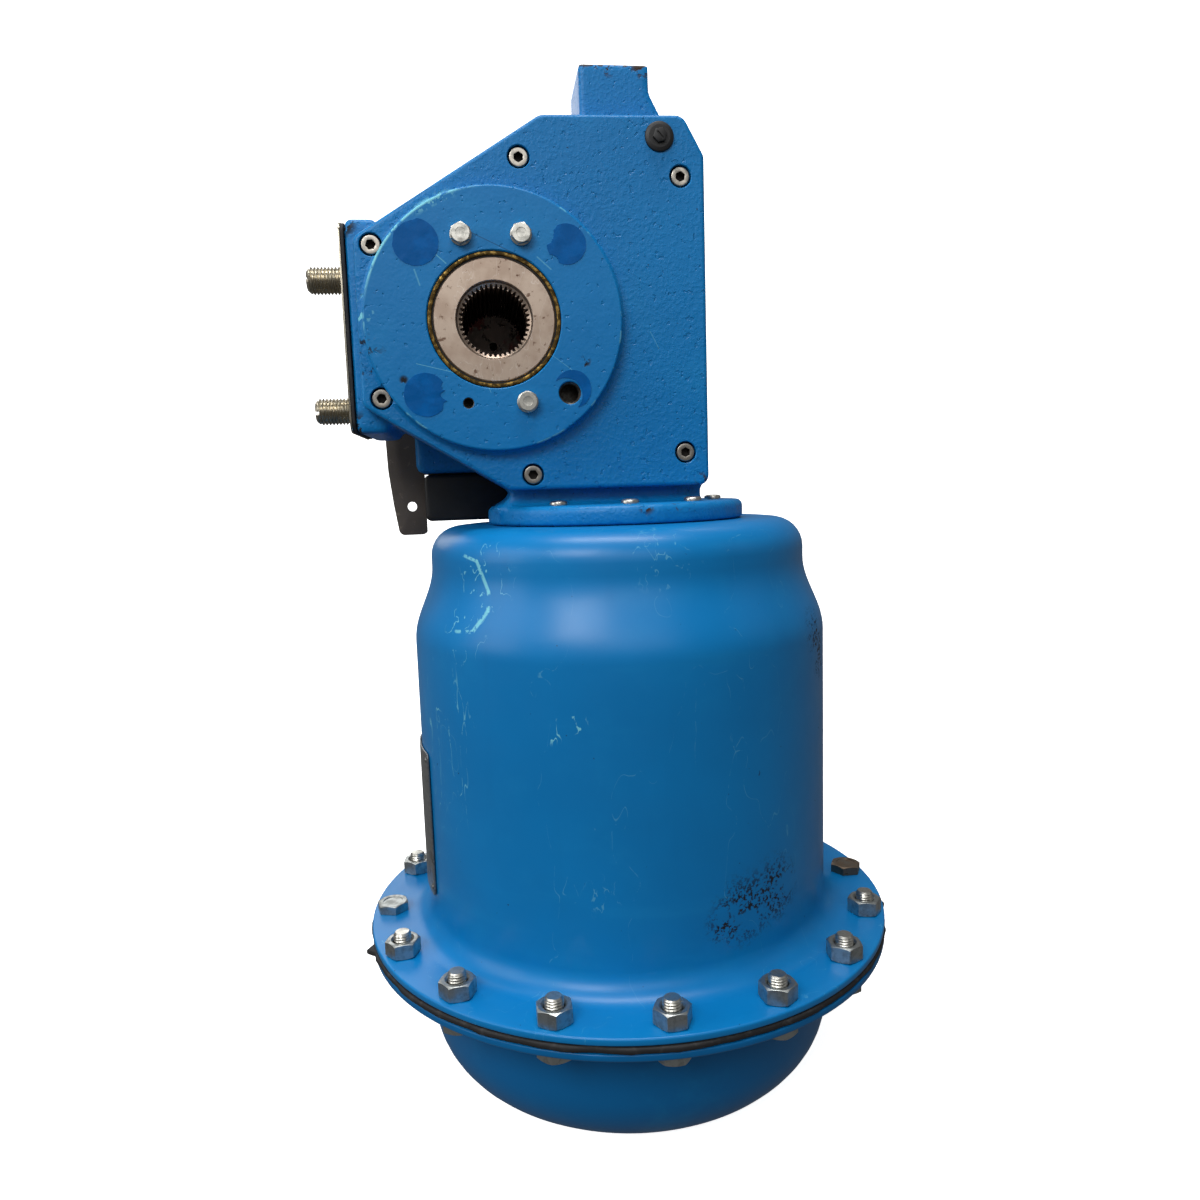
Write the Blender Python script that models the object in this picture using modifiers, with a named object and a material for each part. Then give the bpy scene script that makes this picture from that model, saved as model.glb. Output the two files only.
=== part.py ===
"""Spring-and-diaphragm quarter-turn actuator, in metres, +Z up.

The origin is the centre of the flat bottom of the lower casing, on the barrel's axis. The valve side of the
lever housing faces -Y. Every length below is in millimetres, and mm() turns it into metres.
"""

import math

import bmesh
import bpy
from mathutils import Matrix, Vector

OBJECT_NAME = "rotary_actuator"

# --- Driving dimensions, in millimetres -------------------------------------------------------------
GAP = 0.3                    # left between pieces that touch
SHELL = 4.0                  # sheet thickness of the casings
ROUND_SIDES = 32             # sides of the large turned pieces

# Diaphragm casing
CASING_Z = 122.0             # top of the upper casing flange
FLANGE_R = 204.0
FLANGE_T = 5.0
BOLT_CIRCLE_R = 189.0
BOLTS = 16
INVERTED_BOLTS = (0, 8)      # the right and the left one stand head up
BOLT_R = 6.35
BOLT_HOLE_R = 7.0
NUT_FLATS = 22.0
NUT_T = 11.0
HEAD_T = 9.0

# Lower casing
DISH_TOP_R = 164.0
DISH_WALL_R = 160.0
DISH_CORNER = 50.0

PORT_Z = 66.0                # height of the air port in the rear wall
PORT_ANGLE = 90 - 180 / ROUND_SIDES    # in the middle of a facet

# Spring barrel
BARREL_R = 158.5
BARREL_FLARE = 17.5
SHOULDER_R = 143.5
SHOULDER_CORNER = 22.0
SHOULDER_Z0 = 275.0          # above the casing flange: the shoulder drum ends and the bulge begins
SHOULDER_Z1 = 220.0          # above the casing flange: the bulge reaches the barrel's full radius
BARREL_TOP = 304.4           # above the casing flange
BARREL_HOLE_R = 40.0

NAMEPLATE_Z = (153.0, 263.0)
NAMEPLATE_ANGLES = (176.0, 200.0)

# Neck flange
NECK_Z = CASING_Z + BARREL_TOP + GAP
NECK_R = 98.8
NECK_T = 14.0
NECK_BORE_R = 40.0
NECK_SCREW_R = 76.0
NECK_SCREW_ANGLES = (-130, -90, -50, -10, 30, 70, 110)

# Shaft and lever housing
SHAFT_X = -88.4
SHAFT_Z = CASING_Z + 445.3
COVER_FRONT = -61.0
COVER_BACK = -45.8
HOUSING_FRONT = -45.5
HOUSING_REAR = 58.0
REAR_WALL = 9.0
WALL = 9.0
OUTLINE = ((61, 452), (61, 678), (46.5, 704.5), (-52, 703.5), (-180.5, 624), (-181, 512.5), (-82.5, 452.3))
COVER_SCREWS = ((-67.4, 675.6), (43.8, 664.0), (-168.7, 618.8), (-167.4, 517.4), (-66, 462.8), (43.8, 475.6))
VENT_PLUG = (29.5, 689.5)
LUG_R = 12.0                 # bosses inside the housing that take the cover screws
REAR_BOSS_R, REAR_BOSS_Y = 60.0, 72.0
TOP_BOSS = ((-23, 696), (-23, 743), (26, 743), (26, 725), (41, 696))
TOP_BOSS_Y = (-45.2, 14.0)
COLLAR = ((-92, NECK_Z + 8), (58, NECK_Z + 8), (58, 458), (-76, 458))
COLLAR_Y = (-45.2, 54.0)

# Valve mounting disc
DISC_FRONT = -70.8
DISC_R = 87.5
DISC_PCD_R = 70.0
DISC_HOLE_R = 7.0
DISC_HOLE_DEPTH = 20.0
PAD_BOLT_R = 58.6
PAD_BOLT_ANGLES = (70, 110, -70)
EMPTY_PAD_HOLE_ANGLE = -110
BUSH_R = 45.0
HUB_R = 41.2

# Lever: in its own frame the arm runs along +X, and the shaft's axis is the origin
ARM = 100.0
REST_ANGLE = -45.0
CHEEK_IN, CHEEK_OUT = 12.0, 24.0
EYE_R = 20.0
PIN_R = 9.0
HUB_MID_R = 46.0
SPLINE_TEETH = 43
SPLINE_MINOR_R, SPLINE_MAJOR_R = 22.0, 24.4
BORE_END_Y = 40.0
STOP_FLAT = 40.0             # from the shaft's axis to the flat that a stop screw meets

# Stop pad on the left
PAD_FACE_X = -188.0
PAD_Y = (-45.0, 57.0)
PAD_Z = (495.0, 640.5)
STOP_Z = (609.0, 514.7)
STOP_Y = 2.0
STOP_R = 10.0
STOP_TIP_X = -222.0

# Rod, piston and spring
PIN_X = SHAFT_X + ARM * math.cos(math.radians(REST_ANGLE))
PIN_Z = SHAFT_Z + ARM * math.sin(math.radians(REST_ANGLE))
ROD_R = 9.0
ROD_TOP = PIN_Z - 49.0
FOOT_R = 16.0
PISTON_Z = 17.3
PISTON_R = 118.0
PISTON_T = 5.0
FOOT_PLAY = 3.4              # vertical play of the rod's foot in the piston's cup
SPRING_R = 98.0
SPRING_WIRE_R = 9.0
SPRING_TURNS = 7
SEAT_T = 6.0

# Positioner behind the housing
BRACKET_Y = (HOUSING_REAR + GAP, 80.0)
BRACKET_X = (-156.0, -20.0)
BRACKET_Z = (468.0, 667.0)
PLATE_Y = (80.3, 84.3)
PLATE_OUTLINE = ((-174, 417), (-177.9, 444), (-180.8, 471.5), (-181.4, 495), (-182, 560), (-176, 606),
                 (-158, 624), (8, 624), (8, 442), (-150, 442), (-150, 417))
PLATE_HOLE = (-162.5, 441.0)
CASE_BOX = ((-148, 84.6, 443), (0, 150, 616))
FRONT_BLOCK = ((-150.5, 64, 428.5), (-79, 100, 467))
LOW_BLOCK = ((-148, 88, 428.5), (-58, 146, 455))

MM = 0.001
TWIST = math.radians(7)      # keeps the corners of a round cutter off the edges of what it cuts

BLUE = (0.020, 0.195, 0.520)
STEEL = (0.46, 0.45, 0.43)
ZINC = (0.55, 0.55, 0.53)
BRASS = (0.52, 0.36, 0.12)
BLACK = (0.012, 0.012, 0.012)
RUBBER = (0.018, 0.018, 0.020)
DARK_GREY = (0.050, 0.044, 0.038)


def mm(*values):
    """Millimetres as metres: one number, or a Vector from three."""
    if len(values) == 1:
        return values[0] * MM
    return Vector(values) * MM


def polar(radius, degrees):
    """A point on a circle round the origin."""
    angle = math.radians(degrees)
    return radius * math.cos(angle), radius * math.sin(angle)


# --- Scene -----------------------------------------------------------------------------------------
for old in list(bpy.data.objects):
    bpy.data.objects.remove(old)


def collection(name):
    found = bpy.data.collections.new(name)
    bpy.context.scene.collection.children.link(found)
    return found


PARTS = collection(OBJECT_NAME)
CUTTERS = collection("cutters")


def material(name, colour, roughness, metallic=0.0):
    made = bpy.data.materials.new(name)
    made.use_nodes = True
    shader = made.node_tree.nodes["Principled BSDF"]
    shader.inputs["Base Color"].default_value = (*colour, 1.0)
    shader.inputs["Roughness"].default_value = roughness
    shader.inputs["Metallic"].default_value = metallic
    made.diffuse_color = (*colour, 1.0)
    return made


PAINT = material("blue_paint", BLUE, 0.35)
CAST_PAINT = material("blue_cast_paint", BLUE, 0.5)
BARE_STEEL = material("bare_steel", STEEL, 0.38, 1.0)
ZINC_STEEL = material("zinc_steel", ZINC, 0.4, 1.0)
BRASS_METAL = material("brass", BRASS, 0.4, 1.0)
BLACK_PLASTIC = material("black_plastic", BLACK, 0.45)
BLACK_RUBBER = material("black_rubber", RUBBER, 0.75)
DARK_PAINT = material("dark_grey_paint", DARK_GREY, 0.55)


def part(name, mesh, finish, location=(0, 0, 0), rotation=(0, 0, 0)):
    """A piece of the object, in its own node."""
    made = bpy.data.objects.new(name, mesh)
    made.location = location
    made.rotation_euler = rotation
    if not mesh.materials:
        mesh.materials.append(finish)
    PARTS.objects.link(made)
    return made


def cutter(name, mesh):
    """A hidden body that a Boolean adds or takes away."""
    made = bpy.data.objects.new(name, mesh)
    made.hide_render = True
    made.display_type = "WIRE"
    CUTTERS.objects.link(made)
    return made


def boolean(obj, other, operation):
    step = obj.modifiers.new(other.name, "BOOLEAN")
    step.operation = operation
    step.solver = "EXACT"
    step.object = other
    return step


def cut(obj, other, overlapping=False):
    """Takes a cutter away; overlapping says that the cutter's own bodies run into each other."""
    step = boolean(obj, other, "DIFFERENCE")
    step.use_self = overlapping
    return step


def join(obj, other):
    return boolean(obj, other, "UNION")


# --- Meshes ----------------------------------------------------------------------------------------
def mesh_from(work, name):
    mesh = bpy.data.meshes.new(name)
    bmesh.ops.recalc_face_normals(work, faces=work.faces)
    work.to_mesh(mesh)
    work.free()
    mesh.shade_smooth()
    mesh.set_sharp_from_angle(angle=math.radians(35))
    return mesh


def add_cylinder(work, radius, start, end, sides=24, end_radius=None):
    """A closed cylinder or cone from start to end, in millimetres."""
    start, end = Vector(start) * MM, Vector(end) * MM
    along = end - start
    turn = Vector((0, 0, 1)).rotation_difference(along).to_matrix().to_4x4()
    place = Matrix.Translation((start + end) / 2) @ turn @ Matrix.Rotation(TWIST, 4, "Z")
    last = radius if end_radius is None else end_radius
    bmesh.ops.create_cone(work, cap_ends=True, segments=sides, radius1=mm(radius), radius2=mm(last),
                          depth=along.length, matrix=place)


def cylinders(name, items):
    """One mesh of separate closed cylinders; each item is radius, start, end, sides."""
    work = bmesh.new()
    for radius, start, end, sides in items:
        add_cylinder(work, radius, start, end, sides)
    return mesh_from(work, name)


def box(name, low, high, bevel=0.0, segments=2):
    """A box between two corners, with all its edges rounded by bevel."""
    work = bmesh.new()
    low, high = Vector(low) * MM, Vector(high) * MM
    place = Matrix.Translation((low + high) / 2) @ Matrix.Diagonal((*(high - low), 1.0))
    bmesh.ops.create_cube(work, size=1.0, matrix=place)
    if bevel:
        bmesh.ops.bevel(work, geom=work.edges[:], offset=mm(bevel), segments=segments, affect="EDGES",
                        profile=0.5)
    return mesh_from(work, name)


def outline_mesh(name, points, low, high, plane="XZ", bevel=0.0):
    """A flat outline in millimetres given a thickness between low and high along the third axis."""
    curve = bpy.data.curves.new(name, "CURVE")
    curve.dimensions = "2D"
    curve.fill_mode = "BOTH"
    spline = curve.splines.new("POLY")
    spline.points.add(len(points) - 1)
    for point, (x, y) in zip(spline.points, points):
        point.co = (mm(x), mm(y), 0.0, 1.0)
    spline.use_cyclic_u = True
    curve.extrude = mm(high - low) / 2
    holder = bpy.data.objects.new(name, curve)
    bpy.context.scene.collection.objects.link(holder)
    seen = holder.evaluated_get(bpy.context.evaluated_depsgraph_get())
    mesh = bpy.data.meshes.new_from_object(seen)
    bpy.data.objects.remove(holder)
    work = bmesh.new()
    work.from_mesh(mesh)
    bpy.data.meshes.remove(mesh)
    bmesh.ops.remove_doubles(work, verts=work.verts, dist=1e-6)
    bmesh.ops.dissolve_limit(work, angle_limit=math.radians(1), verts=work.verts, edges=work.edges)
    if bevel:
        bmesh.ops.bevel(work, geom=work.edges[:], offset=mm(bevel), segments=1, affect="EDGES")
    bmesh.ops.translate(work, verts=work.verts, vec=(0, 0, mm(low + high) / 2))
    if plane == "XZ":    # the outline's second axis becomes Z, its thickness runs along Y
        swap = Matrix(((1, 0, 0, 0), (0, 0, 1, 0), (0, 1, 0, 0), (0, 0, 0, 1)))
        bmesh.ops.transform(work, matrix=swap, verts=work.verts)
    return mesh_from(work, name)


def turned(name, profile, sides, closed=False):
    """An object turned about Z from a profile of (radius, height) points, top to bottom on its outer side."""
    mesh = bpy.data.meshes.new(name)
    points = [(mm(radius), 0.0, mm(height)) for radius, height in profile]
    edges = [(index, index + 1) for index in range(len(points) - 1)]
    if closed:
        edges.append((len(points) - 1, 0))
    mesh.from_pydata(points, edges, [])
    holder = bpy.data.objects.new(name, mesh)
    bpy.context.scene.collection.objects.link(holder)
    screw = holder.modifiers.new("turn", "SCREW")
    screw.steps = screw.render_steps = sides
    screw.use_merge_vertices = True
    screw.merge_threshold = 0.00001
    seen = holder.evaluated_get(bpy.context.evaluated_depsgraph_get())
    solid = bpy.data.meshes.new_from_object(seen)
    bpy.data.objects.remove(holder)
    work = bmesh.new()
    work.from_mesh(solid)
    bmesh.ops.remove_doubles(work, verts=work.verts, dist=1e-6)
    return mesh_from(work, name)


def arc(centre, radius, start, end, steps):
    """Points along an arc, in degrees from +X of the profile's plane."""
    found = []
    for index in range(steps + 1):
        x, y = polar(radius, start + (end - start) * index / steps)
        found.append((centre[0] + x, centre[1] + y))
    return found


def sheet_profile(outer, thickness):
    """A closed profile: the outer line, then the same line moved inwards by the sheet's thickness."""
    inner = []
    for index, point in enumerate(outer):
        before = Vector(outer[max(index - 1, 0)])
        after = Vector(outer[min(index + 1, len(outer) - 1)])
        along = (after - before).normalized()
        inner.append((point[0] + along.y * thickness, point[1] - along.x * thickness))
    return list(outer) + inner[::-1]


def ring(name, inner, outer, low, high, sides):
    """A plain ring about Z."""
    profile = ((inner, high), (outer, high), (outer, low), (inner, low))
    return turned(name, profile, sides, closed=True)


def about_y(mesh, centre_x, centre_z):
    """Turns a mesh made about Z so that its top faces -Y, and centres it on a Y axis."""
    place = Matrix.Translation(mm(centre_x, 0, centre_z)) @ Matrix.Rotation(math.radians(90), 4, "X")
    mesh.transform(place)
    return mesh


def inset(points, distance):
    """A convex outline moved inwards by a distance; the points run either way round."""
    area = sum(a[0] * b[1] - b[0] * a[1] for a, b in zip(points, points[1:] + points[:1]))
    side = 1 if area > 0 else -1
    lines = []
    for a, b in zip(points, points[1:] + points[:1]):
        along = (Vector(b) - Vector(a)).normalized()
        normal = Vector((-along.y, along.x)) * side
        lines.append((Vector(a) + normal * distance, along))
    found = []
    for (p, d), (q, e) in zip(lines[-1:] + lines[:-1], lines):
        cross = d.x * e.y - d.y * e.x
        reach = ((q.x - p.x) * e.y - (q.y - p.y) * e.x) / cross
        found.append(tuple(p + d * reach))
    return found


# --- Lever housing ---------------------------------------------------------------------------------
def make_housing():
    outline = list(OUTLINE)
    housing = part("housing", outline_mesh("housing", outline, HOUSING_FRONT, HOUSING_REAR), CAST_PAINT)
    pad = box("stop_pad", (PAD_FACE_X, PAD_Y[0], PAD_Z[0]), (-165, PAD_Y[1], PAD_Z[1]), 4)
    join(housing, cutter("stop_pad", pad))
    boss = outline_mesh("top_boss", TOP_BOSS, *TOP_BOSS_Y)
    join(housing, cutter("top_boss", boss))
    neck = turned("neck", ((0, NECK_Z + NECK_T), (NECK_R - 3, NECK_Z + NECK_T), (NECK_R, NECK_Z + NECK_T - 3),
                           (NECK_R, NECK_Z), (0, NECK_Z)), ROUND_SIDES)
    join(housing, cutter("neck", neck))
    collar = outline_mesh("collar", COLLAR, *COLLAR_Y)
    join(housing, cutter("collar", collar))
    rear = cylinders("rear_boss", [(REAR_BOSS_R, (SHAFT_X, HOUSING_REAR - 4, SHAFT_Z),
                                    (SHAFT_X, REAR_BOSS_Y, SHAFT_Z), 40)])
    join(housing, cutter("rear_boss", rear))

    cavity = outline_mesh("cavity", inset(outline, WALL), HOUSING_FRONT - 10, HOUSING_REAR - REAR_WALL)
    cut(housing, cutter("cavity", cavity))
    lugs = [(LUG_R, (x, HOUSING_FRONT + 0.05, z), (x, -20, z), 12) for x, z in COVER_SCREWS]
    join(housing, cutter("screw_lugs", cylinders("screw_lugs", lugs)))

    holes = [(NECK_BORE_R, (0, 0, NECK_Z - 10), (0, 0, 475), 40),
             (BUSH_R + GAP, (SHAFT_X, 40, SHAFT_Z), (SHAFT_X, 90, SHAFT_Z), 40)]
    holes += [(4.3, (x, HOUSING_FRONT - 5, z), (x, -26, z), 10) for x, z in COVER_SCREWS]
    holes += [(STOP_R + GAP, (PAD_FACE_X - 9, STOP_Y, z), (-150, STOP_Y, z), 20) for z in STOP_Z]
    for angle in NECK_SCREW_ANGLES:
        x, y = polar(NECK_SCREW_R, angle)
        holes.append((5.2, (x, y, NECK_Z - 5), (x, y, NECK_Z + NECK_T + 5), 10))
    cut(housing, cutter("housing_holes", cylinders("housing_holes", holes)))
    return housing


def make_cover():
    cover = part("cover_plate", outline_mesh("cover_plate", OUTLINE, COVER_FRONT, COVER_BACK, bevel=2.5),
                 CAST_PAINT)
    disc = turned("disc", ((0, -DISC_FRONT), (DISC_R - 1, -DISC_FRONT), (DISC_R, -DISC_FRONT - 1),
                           (DISC_R, -COVER_BACK + 5), (0, -COVER_BACK + 5)), 48)
    join(cover, cutter("disc", about_y(disc, SHAFT_X, SHAFT_Z)))
    holes = [(BUSH_R + GAP, (SHAFT_X, DISC_FRONT - 5, SHAFT_Z), (SHAFT_X, -35, SHAFT_Z), 48)]
    for x, z in COVER_SCREWS:
        holes.append((4.5, (x, -80, z), (x, -40, z), 10))
        holes.append((7.7, (x, -80, z), (x, COVER_FRONT + 9, z), 16))
    for angle in (45, 135, 225, 315):
        x, z = polar(DISC_PCD_R, angle)
        x, z = x + SHAFT_X, z + SHAFT_Z
        holes.append((DISC_HOLE_R, (x, DISC_FRONT - 5, z), (x, DISC_FRONT + DISC_HOLE_DEPTH, z), 14))
    for angle in (*PAD_BOLT_ANGLES, EMPTY_PAD_HOLE_ANGLE):
        x, z = polar(PAD_BOLT_R, angle)
        x, z = x + SHAFT_X, z + SHAFT_Z
        holes.append((3.7, (x, DISC_FRONT - 5, z), (x, DISC_FRONT + 14, z), 10))
    x, z = VENT_PLUG
    holes.append((6.3, (x, -80, z), (x, -40, z), 12))
    cut(cover, cutter("cover_holes", cylinders("cover_holes", holes)), overlapping=True)
    return cover


def socket_screw_mesh():
    """A socket head cap screw about Z: the head's top at zero, a hexagon socket in it."""
    head, shank, length, socket = 6.5, 4.0, 31.0, 3.2
    screw = turned("socket_screw", ((0, 0), (head - 0.8, 0), (head, -0.8), (head, -8), (shank, -8),
                                    (shank, -length), (0, -length)), 12)
    holder = bpy.data.objects.new("socket_screw_blank", screw)
    bpy.context.scene.collection.objects.link(holder)
    cut(holder, cutter("hexagon_socket", cylinders("hexagon_socket",
                                                   [(socket * 1.1547, (0, 0, -4.5), (0, 0, 2), 6)])))
    return evaluated_mesh(holder)


def evaluated_mesh(holder):
    """The mesh that an object's modifiers give, with the object then removed."""
    seen = holder.evaluated_get(bpy.context.evaluated_depsgraph_get())
    mesh = bpy.data.meshes.new_from_object(seen)
    bpy.data.objects.remove(holder)
    mesh.shade_smooth()
    mesh.set_sharp_from_angle(angle=math.radians(35))
    return mesh


def united(name, meshes):
    """One mesh from overlapping closed meshes."""
    holder = bpy.data.objects.new(name, meshes[0])
    bpy.context.scene.collection.objects.link(holder)
    for index, mesh in enumerate(meshes[1:]):
        join(holder, cutter(f"{name}_joined_{index}", mesh))
    return evaluated_mesh(holder)


FACE_FRONT = (math.radians(90), 0, 0)     # turns local +Z to -Y


def make_cover_screws():
    mesh = socket_screw_mesh()
    for index, (x, z) in enumerate(COVER_SCREWS, 1):
        part(f"cover_screw_{index}", mesh, ZINC_STEEL, mm(x, COVER_FRONT + 0.6, z), FACE_FRONT)


def make_vent_plug():
    x, z = VENT_PLUG
    plug = turned("vent_plug", ((0, 4.6), (3.6, 4.6), (4.2, 2.6), (8.6, 2.2), (10.2, 0.3), (6.0, 0.3),
                                (6.0, -14), (0, -14)), 18)
    part("vent_plug", plug, BLACK_PLASTIC, mm(x, COVER_FRONT, z), FACE_FRONT)


def make_pad_bolts():
    head = cylinders("pad_bolt_head", [(6.5 * 1.1547, (0, 0, 0.9), (0, 0, 6.2), 6)])
    shank = turned("pad_bolt_shank", ((0, 5.5), (3.4, 5.5), (3.4, -11), (0, -11)), 10)
    washer = cylinders("pad_bolt_washer", [(7.4, (0, 0, 0.3), (0, 0, 1.6), 16)])
    mesh = united("pad_bolt", [head, shank, washer])
    for index, angle in enumerate(PAD_BOLT_ANGLES, 1):
        x, z = polar(PAD_BOLT_R, angle)
        part(f"pad_bolt_{index}", mesh, ZINC_STEEL, mm(SHAFT_X + x, DISC_FRONT, SHAFT_Z + z), FACE_FRONT)


def make_bushings():
    for name, low, high in (("front_bushing", 46.2, 70.4), ("rear_bushing", -71.0, -50.0)):
        mesh = about_y(ring(name, HUB_R + 0.4, BUSH_R, low, high, 32), SHAFT_X, SHAFT_Z)
        part(name, mesh, BRASS_METAL)


# --- Lever -----------------------------------------------------------------------------------------
def lever_outline():
    """The arm's cheek: tangent-like sides from the hub to the round eye."""
    eye = arc((ARM, 0), EYE_R, -80, 80, 8)
    return [(0, -38), *eye, (0, 38)]


def ear_outline(side):
    """A stop ear beside the hub, with its flat towards the back of the lever."""
    back = STOP_FLAT
    near, far = 20.0, 59.0
    points = []
    for reach in (near, far):
        points.append(((reach - back) * math.sqrt(0.5), (reach + back) * math.sqrt(0.5) * side))
    points += [(20, 63 * side), (26, 40 * side), (10, 20 * side), (-14, 20 * side)]
    return points


def spline_outline():
    """The splined bore: V teeth between the minor and the major radius."""
    points = []
    for index in range(SPLINE_TEETH):
        for radius, shift in ((SPLINE_MINOR_R, 0.0), (SPLINE_MAJOR_R, 0.5)):
            points.append(polar(radius, 360 * (index + shift) / SPLINE_TEETH))
    return points


def make_lever():
    front, rear = -70.2, 70.0
    # hub about local Y: built about Z, top towards -Y
    hub = turned("hub", ((0, -front), (HUB_R - 1, -front), (HUB_R, -front - 1), (HUB_R, 44.5), (HUB_MID_R, 44.5),
                         (HUB_MID_R, -48.5), (HUB_R, -48.5), (HUB_R, -rear), (0, -rear)), 32)
    pieces = [about_y(hub, 0, 0)]
    for low, high in ((-CHEEK_OUT, -CHEEK_IN), (CHEEK_IN, CHEEK_OUT)):
        pieces.append(outline_mesh("cheek", lever_outline(), low, high))
    web = ((0, -30), (53, -16), (53, 16), (0, 30))
    pieces.append(outline_mesh("web", web, -CHEEK_IN - 1, CHEEK_IN + 1))
    for side in (-1, 1):
        pieces.append(outline_mesh("ear", ear_outline(side), -11, 11))
    lever = part("drive_lever", united("lever", pieces), BARE_STEEL, mm(SHAFT_X, 0, SHAFT_Z),
                 (0, -math.radians(REST_ANGLE), 0))
    spline = outline_mesh("spline", spline_outline(), front - 5, BORE_END_Y + 5)
    spline_cutter = cutter("spline", spline)
    mouth = cylinders("bore_ends", [(25, (0, front - 5, 0), (0, front + 3, 0), 40),
                                    (30.3, (0, BORE_END_Y, 0), (0, rear + 5, 0), 32)])
    ends_cutter = cutter("bore_ends", mouth)
    pin_cutter = cutter("pin_hole", cylinders("pin_hole", [(PIN_R + GAP, (ARM, -40, 0), (ARM, 40, 0), 16)]))
    for tool in (spline_cutter, ends_cutter, pin_cutter):
        tool.location = lever.location
        tool.rotation_euler = lever.rotation_euler
        cut(lever, tool)
    return lever


def make_hub_fittings():
    """The disc that closes the splined bore, and the spindle that carries the angle to the positioner."""
    plug = ring("hub_end_plug", 3.2, 30, -BORE_END_Y - 7, -BORE_END_Y - GAP, 28)
    part("hub_end_plug", plug, BARE_STEEL, mm(SHAFT_X, 0, SHAFT_Z), FACE_FRONT)
    spindle = turned("feedback_spindle", ((0, -BORE_END_Y - 7.3), (28, -BORE_END_Y - 7.3), (28, -BORE_END_Y - 12),
                                          (8, -BORE_END_Y - 12), (8, -92), (0, -92)), 20)
    part("feedback_spindle", spindle, BARE_STEEL, mm(SHAFT_X, 0, SHAFT_Z), FACE_FRONT)


def make_link():
    """Clevis pin, rod end, lock nut and rod, hanging straight down from the lever's eye."""
    pin = turned("clevis_pin", ((0, 30), (13, 30), (13, 24.6), (PIN_R, 24.6), (PIN_R, -28), (0, -28)), 16)
    part("clevis_pin", pin, BARE_STEEL, mm(PIN_X, 0, PIN_Z), FACE_FRONT)

    eye = cylinders("rod_eye", [(19, (0, -11.4, 0), (0, 11.4, 0), 24)])
    neck = cylinders("rod_neck", [(10, (0, 0, -48.5), (0, 0, -10), 16)])
    bore = cutter("rod_eye_hole", cylinders("rod_eye_hole", [(PIN_R + GAP, (0, -20, 0), (0, 20, 0), 16)]))
    rod_end = part("rod_end", united("rod_end", [eye, neck]), ZINC_STEEL, mm(PIN_X, 0, PIN_Z))
    bore.location = rod_end.location
    cut(rod_end, bore)

    foot = PISTON_Z + PISTON_T + FOOT_PLAY
    rod = turned("actuator_rod", ((0, ROD_TOP), (ROD_R, ROD_TOP), (ROD_R, foot + 14), (FOOT_R, foot + 10),
                                  (FOOT_R, foot + 3), (FOOT_R - 5, foot), (0, foot)), 16)
    rod.transform(Matrix.Translation(mm(0, 0, -PIN_Z)))
    part("actuator_rod", rod, BARE_STEEL, mm(PIN_X, 0, PIN_Z))

    nut = cylinders("rod_nut", [(15 * 1.1547, (0, 0, -67), (0, 0, -54), 6)])
    lock_nut = part("rod_lock_nut", nut, ZINC_STEEL, mm(PIN_X, 0, PIN_Z))
    hole = cutter("rod_nut_hole", cylinders("rod_nut_hole", [(ROD_R + GAP, (0, 0, -80), (0, 0, -40), 16)]))
    hole.location = lock_nut.location
    cut(lock_nut, hole)


# --- Casings ---------------------------------------------------------------------------------------
def casing_bolt_holes():
    """The holes through the whole flange stack, as items for cylinders()."""
    items = []
    for index in range(BOLTS):
        x, y = polar(BOLT_CIRCLE_R, 360 * index / BOLTS)
        items.append((BOLT_HOLE_R, (x, y, CASING_Z - 30), (x, y, CASING_Z + 10), 8))
    return items


def barrel_profile():
    top = CASING_Z + BARREL_TOP
    flare = BARREL_FLARE
    points = [(BARREL_HOLE_R, top)]
    points += arc((SHOULDER_R - SHOULDER_CORNER, top - SHOULDER_CORNER), SHOULDER_CORNER, 90, 0, 3)
    steps = 4
    for index in range(steps + 1):
        share = index / steps
        radius = SHOULDER_R + (BARREL_R - SHOULDER_R) * (0.5 - 0.5 * math.cos(math.pi * share))
        points.append((radius, CASING_Z + SHOULDER_Z0 + (SHOULDER_Z1 - SHOULDER_Z0) * share))
    points += arc((BARREL_R + flare, CASING_Z + flare), flare, 180, 270, 3)
    inner = sheet_profile(points, SHELL)[len(points):]
    skin_end = inner[0]
    flange = [(FLANGE_R - 1, CASING_Z), (FLANGE_R, CASING_Z - 1), (FLANGE_R, CASING_Z - FLANGE_T),
              (skin_end[0] - 14, CASING_Z - FLANGE_T)]
    return points + flange + [point for point in inner if point[1] > CASING_Z + 4]


def make_barrel():
    barrel = part("barrel", turned("barrel", barrel_profile(), ROUND_SIDES, closed=True), PAINT)
    holes = casing_bolt_holes()
    for angle in NECK_SCREW_ANGLES:
        x, y = polar(NECK_SCREW_R, angle)
        holes.append((5.2, (x, y, NECK_Z - 15), (x, y, NECK_Z + 5), 10))
    cut(barrel, cutter("barrel_holes", cylinders("barrel_holes", holes)))


def lower_stack_z():
    """Top of the lower casing's flange."""
    return CASING_Z - 2 * FLANGE_T - 2 * GAP


def make_lower_casing():
    top = lower_stack_z()
    skin = [(DISH_TOP_R, top - FLANGE_T), (DISH_WALL_R, DISH_CORNER)]
    skin += arc((DISH_WALL_R - DISH_CORNER, DISH_CORNER), DISH_CORNER, -18, -90, 4)
    inner = sheet_profile(skin, SHELL)[len(skin):]
    profile = [(0, SHELL)] + inner[:-1] + [(DISH_TOP_R - SHELL, top)]
    profile += [(FLANGE_R - 1, top), (FLANGE_R, top - 1), (FLANGE_R, top - FLANGE_T)] + skin + [(0, 0)]
    casing = part("lower_casing", turned("lower_casing", profile, ROUND_SIDES), PAINT)
    port = (7, (*polar(130, PORT_ANGLE), PORT_Z), (*polar(190, PORT_ANGLE), PORT_Z), 12)
    cut(casing, cutter("lower_casing_holes", cylinders("lower_casing_holes", [*casing_bolt_holes(), port])))


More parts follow.
